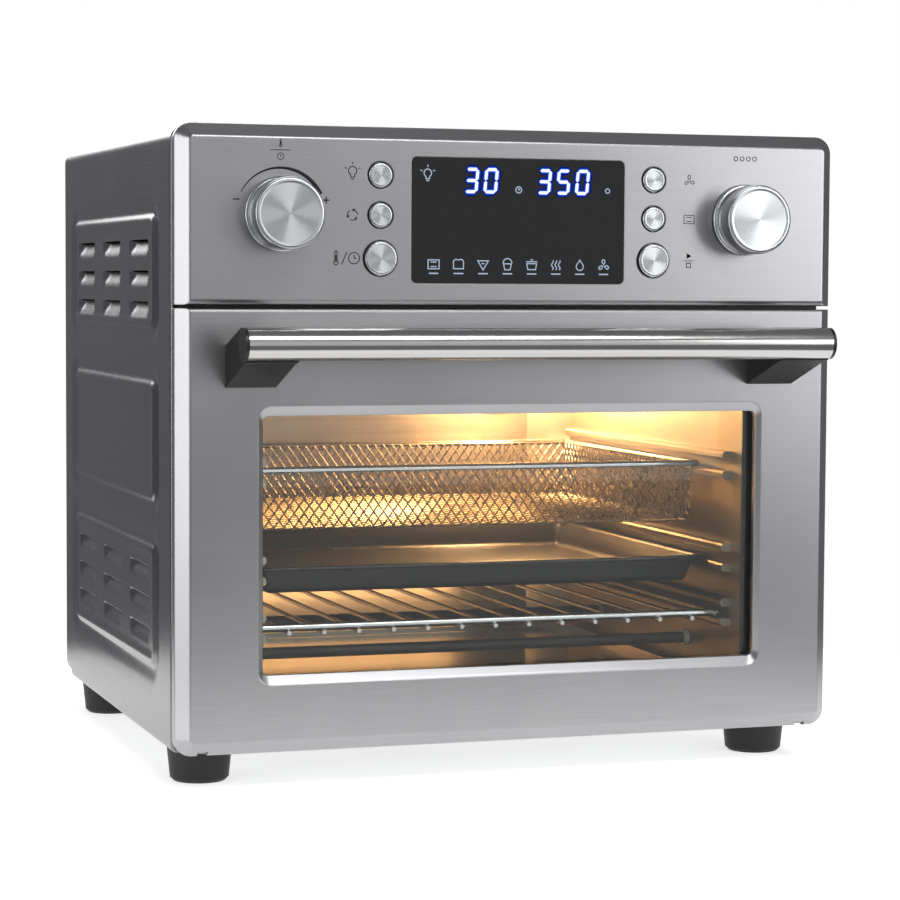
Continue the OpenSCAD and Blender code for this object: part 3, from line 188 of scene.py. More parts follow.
# Fields: how far they stand out, their distance from the front and back edges, and each one's foot and top
EMBOSS = 1.0
FIELD_INSETS = (41.0, 18.0)
FIELD_HEIGHTS = ((43.0, 113.5), (138.5, 208.0), (238.0, 303.5))
FIELD_CORNER = 9.0
FIELD_SLOPE, FIELD_SINK, FIELD_BEAD = 4.5, 0.55, 4.0
MOAT_DEEP, MOAT_WIDE, MOAT_START = 0.9, 11.0, 1.5
# Scoops: three columns and three rows, a step apart, about the middle of a field
SCOOP_LONG, SCOOP_HIGH, SCOOP_DEEP, SCOOP_END = 55.0, 10.0, 4.0, 9.0
SCOOP_CURVE, SCOOP_CURVE_TOP, SCOOP_MOUTH = 0.55, 0.9, 0.06
SCOOP_STEPS = (81.0, 18.0)
SCOOP_HEIGHTS = (77.5, 266.5)
THREE = (-1, 0, 1)


def smooth(t):
    """Soft step from 0 to 1."""
    t = min(1.0, max(0.0, t))
    return t * t * (3 - 2 * t)


def field_edge(d, z, low, high, corner):
    """Distance outside the rounded outline of a rectangle, negative inside it."""
    over = [abs(p - (a + b) / 2) - (b - a) / 2 + corner for p, a, b in zip((d, z), low, high)]
    return math.hypot(max(over[0], 0), max(over[1], 0)) + min(max(over), 0) - corner


def pressed(d, z, length):
    """How far the side stands out at depth d from its front edge and height z, in mm.

    A bead round each field stands out 1 mm, between a shallow moat and the field's lower face.
    A scoop slopes in from its lower lip to the slot at its top.
    """
    ends = (FIELD_INSETS[0], length - FIELD_INSETS[1])
    rise = 0.0
    for bottom, top in FIELD_HEIGHTS:
        edge = field_edge(d, z, (ends[0], bottom), (ends[1], top), FIELD_CORNER)
        if edge < MOAT_START:
            rise = (MOAT_DEEP + EMBOSS) * smooth((MOAT_START - edge) / FIELD_SLOPE) - MOAT_DEEP
            rise -= FIELD_SINK * smooth(-(edge + FIELD_BEAD) / FIELD_BEAD)
        elif edge < MOAT_START + MOAT_WIDE:
            rise = min(rise, MOAT_DEEP * (smooth((edge - MOAT_START) / MOAT_WIDE) - 1))
    middle = (ends[0] + ends[1]) / 2
    for centre in SCOOP_HEIGHTS:
        for row in THREE:
            for column in THREE:
                u = d - middle - column * SCOOP_STEPS[0]
                w = z - centre - row * SCOOP_STEPS[1]
                ends_in = smooth((SCOOP_LONG / 2 - abs(u)) / SCOOP_END)
                up = (w + SCOOP_HIGH / 2) / SCOOP_HIGH
                if abs(u) < SCOOP_LONG / 2 and 0 < up < 1:
                    ramp = smooth(up / SCOOP_CURVE_TOP) * SCOOP_CURVE + up * (1 - SCOOP_CURVE)
                    mouth = smooth((1 - up) / SCOOP_MOUTH)
                    rise -= SCOOP_DEEP * ramp * ends_in * mouth
    return rise


def spread(start, end, step, fine):
    """Grid lines from start to end, no further apart than step, with the fine ones kept."""
    lines = sorted({round(v, 3) for v in fine if start < v < end} | {start, end})
    result = []
    for a, b in zip(lines, lines[1:]):
        count = max(1, math.ceil((b - a) / step))
        result += [a + (b - a) * i / count for i in range(count)]
    return result + [end]


def to_object(name, work, material, body, replaces=(), crease=40.0, place=(0, 0, 0)):
    """Mesh of a finished piece, smooth except at edges sharper than crease, riding on its body."""
    mesh = bpy.data.meshes.new(name)
    work.to_mesh(mesh)
    work.free()
    mesh.polygons.foreach_set("use_smooth", [True] * len(mesh.polygons))
    mesh.set_sharp_from_angle(angle=math.radians(crease))
    mesh.materials.append(material)
    piece = bpy.data.objects.new(name, mesh)
    piece.location = place
    bpy.context.scene.collection.objects.link(piece)
    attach(piece, body)
    if replaces:
        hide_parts(*replaces)
    return piece


def metres(tree, scale):
    """Object coordinates, stretched by a scale per axis."""
    place = add(tree, "TexCoord")
    return add(tree, "Mapping", {"Scale": scale}, {"Vector": place.outputs["Object"]})


def brushed_steel(name, dark, light, along, roughness=0.3, depth=0.02, line_mm=0.9, edge_mm=0.6):
    """Brushed sheet metal: fine lines run along one axis, and the tone drifts slowly across the sheet.

    The real lines are under 0.1 mm apart, so they are drawn coarser to show. Its bent edges are eased.
    """
    material, tree = new_material(name)
    across = 1000 / line_mm
    scale = [across if axis != along else across / 60 for axis in "xyz"]
    lines = add(tree, "TexNoise", {"Scale": 1.0, "Detail": 3.0, "Roughness": 0.6},
                {"Vector": metres(tree, scale)})
    cloud = add(tree, "TexNoise", {"Scale": 1.0, "Detail": 4.0}, {"Vector": metres(tree, (14, 14, 14))})
    half_cloud = add(tree, "Math", {"operation": "MULTIPLY", 1: 0.5}, {0: cloud})
    both = add(tree, "Math", {"operation": "MULTIPLY_ADD", 1: 0.5}, {0: lines, 2: half_cloud})
    tone = add(tree, "ValToRGB", {}, {"Fac": both})
    for stop, position, colour in zip(tone.color_ramp.elements, (0.3, 0.7), (dark, light)):
        stop.position = position
        stop.color = linear(colour)
    gloss = add(tree, "MapRange", {"To Min": roughness - 0.05, "To Max": roughness + 0.06}, {"Value": both})
    eased = add(tree, "Bevel", {"samples": 4, "Radius": edge_mm * MM})
    bump = add(tree, "Bump", {"Strength": depth, "Distance": 0.0002}, {"Height": lines, "Normal": eased})
    metal = add(tree, "BsdfPrincipled", {"Metallic": 1.0},
                {"Base Color": tone, "Roughness": gloss, "Normal": bump})
    add(tree, "OutputMaterial", {}, {"Surface": metal})
    return material


def finish_node(name, material):
    """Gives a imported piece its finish."""
    mesh = nodes[name].data
    mesh.materials.clear()
    mesh.materials.append(material)


# Cold rolled stainless with a satin face. It is the same steel as the front, but darker than the front:
# painted shade on the sides and back. Its faint lines run from front to back
shade_darkened_wrap = brushed_steel("rolled_satin_stainless_painted_shade", "#7E7E80", "#8C8C8E", along="y", roughness=0.26,
                           depth=0.004, line_mm=1.6)
wrap_low, wrap_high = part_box("housing_wrap")
wrap_long = (wrap_high.y - wrap_low.y) / MM
wrap_tall = (wrap_high.z - wrap_low.z) / MM
side_x = wrap_high.x / MM - EMBOSS
middle = (FIELD_INSETS[0] + wrap_long - FIELD_INSETS[1]) / 2
# Grid lines of the sheet, close together across the fields' edges, the scoops and the front roll
EDGE_STEPS = (-12, -9, -7, -5, -4, -3, -2, -1, 0, 1, 2, 3, 4, 5, 7, 9, 12)
edge_lines = [v + o for v in (FIELD_INSETS[0], wrap_long - FIELD_INSETS[1]) for o in EDGE_STEPS]
scoop_ends = [middle + c * SCOOP_STEPS[0] + s * (SCOOP_LONG / 2 - o)
              for c in THREE for s in (-1, 1) for o in (-0.3, 0, 1.0, 2.2, 3.5, 4.8, 6.2, 7.6, 9.0)]
depth_lines = spread(0.0, wrap_long, 9.0, [0.3, 0.7, 1.2, 1.7, FRONT_ROLL, 3.5] + edge_lines + scoop_ends)
field_lines = [v + o for pair in FIELD_HEIGHTS for v in pair for o in EDGE_STEPS]
scoop_shares = (-0.03, 0, 0.06, 0.15, 0.3, 0.45, 0.6, 0.75, 0.86, 0.94, 0.97, 1.0, 1.03)
scoop_rows = [c + r * SCOOP_STEPS[1] + (s - 0.5) * SCOOP_HIGH
              for c in SCOOP_HEIGHTS for r in THREE for s in scoop_shares]
side_heights = spread(FOOT_R, wrap_tall - CORNER_R, 9.0, field_lines + scoop_rows)


def bend(cx, cz, r, start, end, steps):
    """Points round a bend, from one angle to another in degrees."""
    angles = [math.radians(start + (end - start) * i / steps) for i in range(steps + 1)]
    return [(cx + r * math.cos(a), cz + r * math.sin(a)) for a in angles]


# Half of the sheet's section, from the lip under the body up the side to the middle of the top
half = [(side_x - LIP, 0.0)] + bend(side_x - FOOT_R, FOOT_R, FOOT_R, -90, 0, 6)[:-1]
half += [(side_x, z) for z in side_heights]
half += bend(side_x - CORNER_R, wrap_tall - CORNER_R, CORNER_R, 0, 90, 10)[1:]
half += [(side_x - CORNER_R - 30 * i, wrap_tall) for i in range(1, 7)]
section = [(-x, z) for x, z in half] + list(reversed(half))


def on_side(x):
    """True on the flat of either side, where the fields are pressed."""
    return abs(abs(x) - side_x) < 0.01


work = bmesh.new()
rows = []
inner_of = {}
SLOT_TALL, SLOT_DROP = 0.45, 1.2
for x, z in section:
    row = []
    for d in depth_lines:
        roll_in = FRONT_ROLL - math.sqrt(max(0.0, FRONT_ROLL ** 2 - max(0.0, FRONT_ROLL - d) ** 2))
        flat_side = on_side(x) and FOOT_R <= z <= wrap_tall - CORNER_R
        out = pressed(d, z, wrap_long) if flat_side else 0.0
        centre_x = max(-side_x + CORNER_R, min(side_x - CORNER_R, x))
        centre_z = max(FOOT_R, min(wrap_tall - CORNER_R, z))
        away = Vector((x - centre_x, z - centre_z))
        away = away.normalized() if away.length > 1e-6 else Vector((0.0, -1.0))
        px = x + math.copysign(1, x) * out - away.x * roll_in * ROLL_IN
        pz = z - away.y * roll_in * ROLL_IN
        point = Vector((px * MM, wrap_low.y + d * MM, wrap_low.z + pz * MM))
        inward = Vector((-away.x, 0, -away.y)) * SHEET * MM
        outer = work.verts.new(point)
        inner_of[outer] = work.verts.new(point + inward)
        row.append(outer)
    rows.append(row)
for a in range(len(rows) - 1):
    (x0, z0), (x1, z1) = section[a:a + 2]
    for b in range(len(depth_lines) - 1):
        corners = [rows[a][b], rows[a + 1][b], rows[a + 1][b + 1], rows[a][b + 1]]
        # The slot at a scoop's mouth stays open: short steps up that drop far in
        drop = max(abs(p.co.x - q.co.x) for p in corners for q in corners)
        if on_side(x0) and on_side(x1) and abs(z1 - z0) < SLOT_TALL and drop > SLOT_DROP * MM:
            continue
        work.faces.new(corners)
skin = list(work.faces)
borders = [(loop.vert, loop.link_loop_next.vert)
           for face in skin for loop in face.loops if loop.edge.is_boundary]
for face in skin:
    work.faces.new([inner_of[v] for v in reversed(face.verts)])
for a, b in borders:
    work.faces.new((b, a, inner_of[a], inner_of[b]))
bmesh.ops.delete(work, geom=[v for v in work.verts if not v.link_faces], context="VERTS")
# The pressed sheet and the back cover take the darker steel, whose darkness is painted shade
to_object("housing_sheet", work, shade_darkened_wrap, "oven", ["housing_wrap"], crease=50.0)
finish_node("back_cover", shade_darkened_wrap)
# Zinc plated sheet: paler and duller, with a faint mottle
zinc_sheet = brushed_steel("zinc_plated_sheet", "#8F9193", "#A3A5A7", along="x", roughness=0.42)
for name in ("base_plate", "heat_shield"):
    finish_node(name, zinc_sheet)

# ---- Rubber feet, wall spacers and cord bush ----
# Four tapered feet snap into the base, spacers keep the back off the wall, and a bush lines the inlet.
# They are moulded: near black, matt, with a fine grain.


def moulded(name, colour, roughness, grain_mm, depth, edge_mm=0.4):
    """Moulded or coated skin with a fine even grain and eased edges."""
    material, tree = new_material(name)
    grain = add(tree, "TexNoise", {"Scale": 1000 / grain_mm, "Detail": 2.0},
                {"Vector": metres(tree, (1, 1, 1))})
    eased = add(tree, "Bevel", {"samples": 4, "Radius": edge_mm * MM})
    bump = add(tree, "Bump", {"Strength": depth, "Distance": 0.0001}, {"Height": grain, "Normal": eased})
    gloss = add(tree, "MapRange", {"To Min": roughness - 0.06, "To Max": roughness + 0.06}, {"Value": grain})
    skin = add(tree, "BsdfPrincipled", {"Base Color": linear(colour), "IOR": 1.5},
               {"Roughness": gloss, "Normal": bump})
    add(tree, "OutputMaterial", {}, {"Surface": skin})
    return material


foot_rubber = moulded("moulded_foot_rubber", "#1A1A1B", 0.55, 1.2, 0.3)
for corner in ("front_left", "front_right", "rear_left", "rear_right"):
    finish_node("foot_" + corner, foot_rubber)
# Glass filled nylon: black with a low satin sheen
black_nylon = moulded("moulded_black_nylon", "#151516", 0.36, 0.9, 0.2)
for name in ("wall_spacers", "cord_gland", "handle_caps", "button_rings"):
    finish_node(name, black_nylon)

# ---- Front frame and cavity ----
# The frame is stoved black. The cavity is folded from aluminised sheet, whose satin face
# turns golden by lamplight, and ribs along its sides carry the rack, pan and basket.
# Stove enamel: soft black with a faint orange peel
finish_node("front_frame", moulded("stoved_black_enamel", "#232324", 0.4, 1.5, 0.1))
# Aluminised steel: a soft grey sheen with long streaks, dull enough to glow by lamplight
liner = brushed_steel("rolled_aluminised_steel", "#857C70", "#A39A8C", along="x", roughness=0.36, line_mm=2.4)
for name in ("cavity_wall", "cavity_ceiling", "cavity_floor", "fan_guard", "fan_housing"):
    finish_node(name, liner)
# The crumb tray is rolled smoother than the walls, so it mirrors the lit wall behind it
tray_sheet = brushed_steel("polished_aluminised_tray", "#9A948A", "#AAA499", along="x", roughness=0.16,
                           line_mm=2.4)
finish_node("crumb_tray", tray_sheet)

# ---- Heating, fan and lamp ----
# Sheathed elements in ceramic bushes, the fan and its motor, and the lamp high at the rear.
# The sheaths are oxidised to a dark brown-grey, and the lamp's glass glows warm.
oxidised = moulded("oxidised_element_sheath", "#3A3532", 0.5, 0.8, 0.3)
for name in ("heater_lower", "heater_upper"):
    finish_node(name, oxidised)
# Steatite: dull cream white, slightly chalky
ceramic = moulded("fired_steatite", "#D8D2C2", 0.6, 1.0, 0.2)
for name in ("heater_bushings", "lamp_holder"):
    finish_node(name, ceramic)
# Turned and stamped steel: mid grey with a soft sheen
machined = brushed_steel("machined_steel", "#8F9092", "#A2A3A5", along="x", roughness=0.35)
for name in ("temperature_probe", "fan_wheel", "door_pivots", "stay_arms", "hinge_lugs", "encoders",
             "door_springs"):
    finish_node(name, machined)
# Sprayed paint on the motor's can, and undyed resin for the cooling fan: both satin and slightly grainy
finish_node("fan_motor", moulded("sprayed_motor_paint", "#4A4B4D", 0.45, 1.0, 0.2))
finish_node("cooling_fan", moulded("moulded_fan_resin", "#C9C4B6", 0.5, 1.0, 0.1))

# Lit filament behind clear glass: a hot warm white core
lamp_glow, tree = new_material("lit_filament_bulb")
filament = add(tree, "Emission", {"Color": linear("#FFC67A"), "Strength": 24.0})
add(tree, "OutputMaterial", {}, {"Surface": filament})
finish_node("lamp_bulb", lamp_glow)
# Ribbed cover glass that the lamp lights from behind: cream, brighter along its ribs
lamp_lens, tree = new_material("lit_ribbed_cover_glass")
ribs = add(tree, "TexWave", {"Scale": 90.0, "Distortion": 0.0}, {"Vector": metres(tree, (1, 1, 1))})
ribbed = add(tree, "Bump", {"Strength": 0.4, "Distance": 0.0006}, {"Height": ribs})
lamp_level = add(tree, "MapRange", {"To Min": 3.0, "To Max": 5.5}, {"Value": ribs})
shell = add(tree, "BsdfPrincipled", {
    "Base Color": linear("#FFE2B0"), "Roughness": 0.25, "IOR": 1.47,
    "Emission Color": linear("#FFD9A0")}, {"Normal": ribbed, "Emission Strength": lamp_level})
add(tree, "OutputMaterial", {}, {"Surface": shell})
finish_node("lamp_glass", lamp_lens)

lens_low, lens_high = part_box("lamp_glass")
lens_middle = (lens_low + lens_high) / 2
LAMPLIGHT = "#FFC583"
lamp = bpy.data.lights.new("oven_lamp", "POINT")
lamp.energy = 5.5
lamp.color = linear(LAMPLIGHT)[:3]
lamp.shadow_soft_size = 0.018
lamp_point = bpy.data.objects.new("oven_lamp", lamp)
lamp_point.location = (lens_middle.x, lens_low.y - 0.02, lens_middle.z)
bpy.context.scene.collection.objects.link(lamp_point)
# Some of its light comes down behind the pan. A narrow lamp low at the rear stands in for it.
spill = bpy.data.lights.new("lamp_spill", "AREA")
spill.shape = "RECTANGLE"
spill.size, spill.size_y = 0.22, 0.01
spill.energy = 0.13
spill.color = linear(LAMPLIGHT)[:3]
spill_point = bpy.data.objects.new("lamp_spill", spill)
wall_low, wall_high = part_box("cavity_wall")
spill_point.location = (-0.03, wall_high.y - 0.045, wall_low.z + 0.03)
spill_point.rotation_euler = Vector((0, 0.05, 0.003)).to_track_quat("-Z", "Y").to_euler()
spill_point.visible_camera = spill_point.visible_transmission = False
bpy.context.scene.collection.objects.link(spill_point)

# ---- Rack ----
# Steel wires welded to a frame, then chromium plated: bright, with faint smears.
# It rests on the lowest pair of ribs and follows the door out a little.


def chrome(name, colour, roughness):
    """Bright chromium plate, with faint smears in its gloss."""
    material, tree = new_material(name)
    smear = add(tree, "TexNoise", {"Scale": 1.0, "Detail": 3.0}, {"Vector": metres(tree, (60, 60, 60))})
    gloss = add(tree, "MapRange", {"To Min": roughness, "To Max": roughness + 0.08}, {"Value": smear})
    metal = add(tree, "BsdfPrincipled", {"Base Color": linear(colour), "Metallic": 1.0}, {"Roughness": gloss})
    add(tree, "OutputMaterial", {}, {"Surface": metal})
    return material


chromed_wire = chrome("chromed_steel_wire", "#C6C7CA", 0.12)
for name in ("wire_rack", "basket_rim", "door_screws", "casing_screws"):
    finish_node(name, chromed_wire)

# ---- Baking pan ----
# Drawn from steel sheet with sloping walls and round corners, its rim rolled over a wire.
# The dark non-stick coat is sprayed on, so it has a low sheen with a slight orange peel.
PAN_FLANGE = 7.0
PAN_BEAD = 1.3
PAN_TAPER = 5.0
PAN_FLOOR_BEND = 5.0
PAN_CORNER = 14.0
PAN_SHEET = 1.0


def rounded_loop(low, high, inset, corner, steps=7):
    """Points round a rounded rectangle in plan, drawn in by an inset."""
    r = max(0.6, corner - inset)
    points = []
    for k, (sx, sy) in enumerate(((1, 1), (-1, 1), (-1, -1), (1, -1))):
        cx = (high[0] - inset - r) if sx > 0 else (low[0] + inset + r)
        cy = (high[1] - inset - r) if sy > 0 else (low[1] + inset + r)
        points += bend(cx, cy, r, k * 90, k * 90 + 90, steps)
    return points


def loft(work, loops):
    """Skin between closed loops of the same count, capped at both ends."""
    rings = [[work.verts.new(Vector(p) * MM) for p in loop] for loop in loops]
    for a, b in zip(rings, rings[1:]):
        for i in range(len(a)):
            j = (i + 1) % len(a)
            work.faces.new((a[i], a[j], b[j], b[i]))
    work.faces.new(list(reversed(rings[0])))
    work.faces.new(rings[-1])


low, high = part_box("baking_pan")
pan_low = (low.x / MM, low.y / MM)
pan_high = (high.x / MM, high.y / MM)
pan_top, pan_bottom = high.z / MM, low.z / MM


def floor_bend(foot, floor_z):
    """Section points where a wall turns into the pan's floor."""
    angles = [math.radians(a) for a in (0, 20, 40, 60, 80, 90)]
    return [(foot + PAN_FLOOR_BEND * (1 - math.cos(a)), floor_z + PAN_FLOOR_BEND * (1 - math.sin(a)))
            for a in angles]


# Section as inset and height, from the underside out round the rolled rim and in to the floor's top
bead_angles = [math.radians(a) for a in (-150, -110, -70, -35, 0, 30, 60, 90)]
bead = [(PAN_BEAD * (1 - math.cos(a)), pan_top - PAN_BEAD * (1 - math.sin(a))) for a in bead_angles]
wall_foot = PAN_FLANGE + PAN_TAPER
inner = bead + [(PAN_FLANGE - 1.5, pan_top - 0.05), (PAN_FLANGE - 0.5, pan_top - 0.5)]
inner += [(PAN_FLANGE, pan_top - 1.3)]
inner += floor_bend(wall_foot - 0.6, pan_bottom + PAN_SHEET)
outer = [(PAN_BEAD * 1.6, pan_top - 1.2), (PAN_FLANGE - 1.2, pan_top - 1.2), (PAN_FLANGE - 1, pan_top - 2)]
outer += floor_bend(wall_foot - 1.8, pan_bottom)
profile = list(reversed(outer)) + inner
work = bmesh.new()
loft(work, [[(x, y, z) for x, y in rounded_loop(pan_low, pan_high, inset, PAN_CORNER)]
            for inset, z in profile])
bmesh.ops.recalc_face_normals(work, faces=work.faces)
coated = moulded("sprayed_dark_nonstick", "#19191C", 0.32, 1.0, 0.003)
to_object("coated_pan", work, coated, "pan", ["baking_pan"], crease=60.0)

# ---- Basket ----
# A tray of woven steel wire, folded up from one cut sheet and clinched under a chromed rim.
# The real wires are about 1 mm thick, and they look golden by lamplight.
WIRE, WIRE_LAYER, SHORTEST_WIRE = 1.05, 0.35, 1.5
WIRE_PITCH, WIRE_SLANT = 6.2, 54.0
FLOOR_PITCH, FLOOR_SLANT = 7.5, 50.0


def wire_between(work, a, b, out, thick):
    """One straight wire from a to b with a four sided section."""
    along = (b - a).normalized()
    side = along.cross(out).normalized()
    half = thick / 2
    corners = [side * half, out * half, side * -half, out * -half]
    loft(work, [[(p + corner) / MM for corner in corners] for p in (a, b)])


def woven_panel(work, origin, u, v, wide, tall, out, slant=WIRE_SLANT, pitch=WIRE_PITCH):
    """Two slanting sets of wires, one just behind the other, cut off at a flat panel's edges."""
    run = tall / math.tan(math.radians(slant))
    count = int((wide + run) / pitch) + 1
    for side in (-1, 1):
        layer = origin + out * side * WIRE * WIRE_LAYER * MM
        slope = side * tall / run
        for i in range(count):
            start = (i + 0.5) * (wide + run) / count - (run if side > 0 else 0)
            clipped = []
            for across in (start, start + side * run):
                across = min(wide, max(0.0, across))
                clipped.append(layer + (u * across + v * slope * (across - start)) * MM)
            if (clipped[1] - clipped[0]).length > SHORTEST_WIRE * MM:
                wire_between(work, *clipped, out, WIRE * MM)


mesh_low, mesh_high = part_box("basket_mesh")
play = Vector((1, 1, 1)) * MM
low, high = mesh_low + play, mesh_high - play
size = (high - low) / MM
x_way, y_way, z_way = Vector((1, 0, 0)), Vector((0, 1, 0)), Vector((0, 0, 1))
work = bmesh.new()
for y in (low.y, high.y):
    woven_panel(work, Vector((low.x, y, low.z)), x_way, z_way, size.x, size.z, y_way)
for x in (low.x, high.x):
    woven_panel(work, Vector((x, low.y, low.z)), y_way, z_way, size.y, size.z, x_way)
woven_panel(work, low, x_way, y_way, size.x, size.y, z_way, FLOOR_SLANT, FLOOR_PITCH)
# Wires along the folds and under the rim
for z in (low.z, high.z):
    plan = ((low.x, low.y), (high.x, low.y), (high.x, high.y), (low.x, high.y))
    loop = [Vector((x, y, z)) for x, y in plan]
    for a, b in zip(loop, loop[1:] + loop[:1]):
        wire_between(work, a, b, z_way, WIRE * MM)
woven = chrome("woven_steel_wire", "#C9BFAE", 0.24)
to_object("woven_basket", work, woven, "basket", ["basket_mesh"], crease=30.0)

# ---- Door ----
# A drawn stainless tray with a bevelled lip round the glass, an inner sheet and a silicone seal.
# It is brushed across its width, so highlights stretch up and down.
front_steel = brushed_steel("brushed_front_stainless", "#A4A4A6", "#B0B0B2", along="x", edge_mm=0.9)
for name in ("door_panel", "control_fascia"):
    finish_node(name, front_steel)
finish_node("door_inner", liner)
# Silicone: dull black, it drinks the light round the glass
finish_node("glass_seal", moulded("moulded_silicone", "#1C1C1D", 0.6, 1.0, 0.1))
# Tempered float glass, 4 mm: clear and faintly grey-green
glass, tree = new_material("tempered_float_glass")
pane = add(tree, "BsdfPrincipled", {
    "Base Color": linear("#F0F3F1"), "Roughness": 0.0, "IOR": 1.5, "Transmission Weight": 1.0})
add(tree, "OutputMaterial", {}, {"Surface": pane})
finish_node("door_glass", glass)

# ---- Handle ----
# A polished stainless tube held in two moulded brackets that are screwed through the door.
# It mirrors the studio in long bands, with black plugs in its ends.
finish_node("handle_tube", chrome("polished_stainless_tube", "#C4C3C1", 0.13))
# Glass filled nylon again, but darker and duller, with broad soft edges
bracket = moulded("moulded_black_bracket", "#0A0A0B", 0.46, 0.8, 0.1, edge_mm=1.2)
for side in ("left", "right"):
    finish_node("handle_bracket_" + side, bracket)

# ---- Marks on the fascia ----
# Plain pictograms and a tapering arc round the left knob, pad printed in dark grey ink.
# Ink lies a few hundredths of a millimetre proud, and is matt.
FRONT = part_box("control_fascia")[0].y
INK_THICK = 0.06


def ribbon(work, points, width, closed=False, level=0.0):
    """Flat line of even or tapering width through points (x, z in mm), level mm before the front."""
    widths = width if isinstance(width, (list, tuple)) else [width] * len(points)
    count = len(points)
    sides = []
    for i, (x, z) in enumerate(points):
        before = points[(i - 1) % count] if closed or i else points[i]
        after = points[(i + 1) % count] if closed or i < count - 1 else points[i]
        into = Vector((x - before[0], z - before[1]))
        onward = Vector((after[0] - x, after[1] - z))
        into = into.normalized() if into.length > 1e-6 else onward.normalized()
        onward = onward.normalized() if onward.length > 1e-6 else into
        normal = Vector((-(into.y + onward.y), into.x + onward.x)).normalized()
        stretch = 1 / max(0.45, normal.dot(Vector((-into.y, into.x))))
        half_width = widths[i] / 2 * stretch
        sides.append([work.verts.new(((x + s * normal.x * half_width) * MM, FRONT - level * MM,
                                      (z + s * normal.y * half_width) * MM)) for s in (1, -1)])
    for i in range(count if closed else count - 1):
        a, b = sides[i], sides[(i + 1) % count]
        work.faces.new((a[0], a[1], b[1], b[0]))


def patch(work, points, level=0.0):
    """Filled outline in the plane of the front."""
    work.faces.new([work.verts.new((x * MM, FRONT - level * MM, z * MM)) for x, z in points])


def ring(x, z, r, start=0, end=360, steps=24):
    """Points round a circle or arc."""
    return bend(x, z, r, start, end, steps)


def bulb_mark(work, x, z, size, line, level=0.0):
    """Lamp with three rays."""
    ribbon(work, ring(x, z + 0.12 * size, 0.3 * size, -60, 240, 16) +
           [(x - 0.14 * size, z - 0.32 * size), (x + 0.14 * size, z - 0.32 * size)], line, True, level)
    ribbon(work, [(x - 0.12 * size, z - 0.46 * size), (x + 0.12 * size, z - 0.46 * size)], line, False, level)
    for a in (20, 90, 160):
        c, s = math.cos(math.radians(a)), math.sin(math.radians(a))
        ribbon(work, [(x + 0.45 * size * c, z + (0.12 + 0.45 * s) * size),
                      (x + 0.62 * size * c, z + (0.12 + 0.62 * s) * size)], line, False, level)


def turn_mark(work, x, z, size, line, level=0.0):
    """Three arrows that chase each other round a circle."""
    for a in (90, 210, 330):
        ribbon(work, ring(x, z, 0.42 * size, a - 85, a - 20, 8), line, False, level)
        tip = math.radians(a + 8)
        base = math.radians(a - 22)
        patch(work, [(x + 0.42 * size * math.cos(tip), z + 0.42 * size * math.sin(tip)),
                     (x + 0.58 * size * math.cos(base), z + 0.58 * size * math.sin(base)),
                     (x + 0.26 * size * math.cos(base), z + 0.26 * size * math.sin(base))], level)


def heat_mark(work, x, z, size, line, level=0.0):
    """Thermometer."""
    ribbon(work, ring(x, z - 0.32 * size, 0.16 * size, -240, 60, 14) +
           ring(x, z + 0.42 * size, 0.08 * size, 0, 180, 6), line, True, level)
    ribbon(work, [(x, z - 0.3 * size), (x, z + 0.2 * size)], line, False, level)


def clock_mark(work, x, z, size, line, level=0.0):
    """Clock face with two hands."""
    ribbon(work, ring(x, z, 0.42 * size, 0, 345, 23), line, True, level)
    ribbon(work, [(x, z + 0.26 * size), (x, z), (x + 0.18 * size, z)], line, False, level)


def oven_mark(work, x, z, size, line, level=0.0):
    """Oven with heat from above and below."""
    w, h = 0.5 * size, 0.38 * size
    ribbon(work, [(x - w, z - h), (x + w, z - h), (x + w, z + h), (x - w, z + h)], line, True, level)
    for bar in (z - 0.5 * h, z + 0.5 * h):
        ribbon(work, [(x - 0.55 * w, bar), (x + 0.55 * w, bar)], line, False, level)


def fan_mark(work, x, z, size, line, level=0.0):
    """Fan with three blades."""
    blade = [(0.1, 0.0), (0.28, 0.16), (0.5, 0.1), (0.46, -0.1), (0.22, -0.1)]
    for a in (90, 210, 330):
        c, s = math.cos(math.radians(a)), math.sin(math.radians(a))
        turned_blade = [(x + size * (p * c - q * s), z + size * (p * s + q * c)) for p, q in blade]
        ribbon(work, turned_blade, line, True, level)


def start_mark(work, x, z, size, line, level=0.0):
    """Start triangle over a stop square."""
    patch(work, [(x - 0.2 * size, z + 0.75 * size), (x - 0.2 * size, z + 0.2 * size),
                 (x + 0.3 * size, z + 0.47 * size)], level)
    ribbon(work, [(x - 0.5 * size, z), (x + 0.5 * size, z)], line, False, level)
    ribbon(work, [(x - 0.22 * size, z - 0.65 * size), (x + 0.22 * size, z - 0.65 * size),
                  (x + 0.22 * size, z - 0.22 * size), (x - 0.22 * size, z - 0.22 * size)], line, True, level)


def middle_of(name):
    """Middle of a control in the plane of the front, in mm."""
    low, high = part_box(name)
    return (low.x + high.x) / 2 / MM, (low.z + high.z) / 2 / MM


def thicken(piece, thick, offset):
    """Gives a flat mark its thickness, in mm."""
    skin = piece.modifiers.new("thickness", "SOLIDIFY")
    skin.thickness = thick * MM
    skin.offset = offset


work = bmesh.new()
left_x, knob_z = middle_of("knob_left")
right_x = middle_of("knob_right")[0]
light_x, light_z = middle_of("button_light")
turn_z = middle_of("button_turn")[1]
mode_z = middle_of("button_mode")[1]
fry_x, fry_z = middle_of("button_fry")
bake_z = middle_of("button_bake")[1]
start_z = middle_of("button_start")[1]
BOLD, PLAIN, THIN, FINE = 0.7, 0.55, 0.45, 0.4
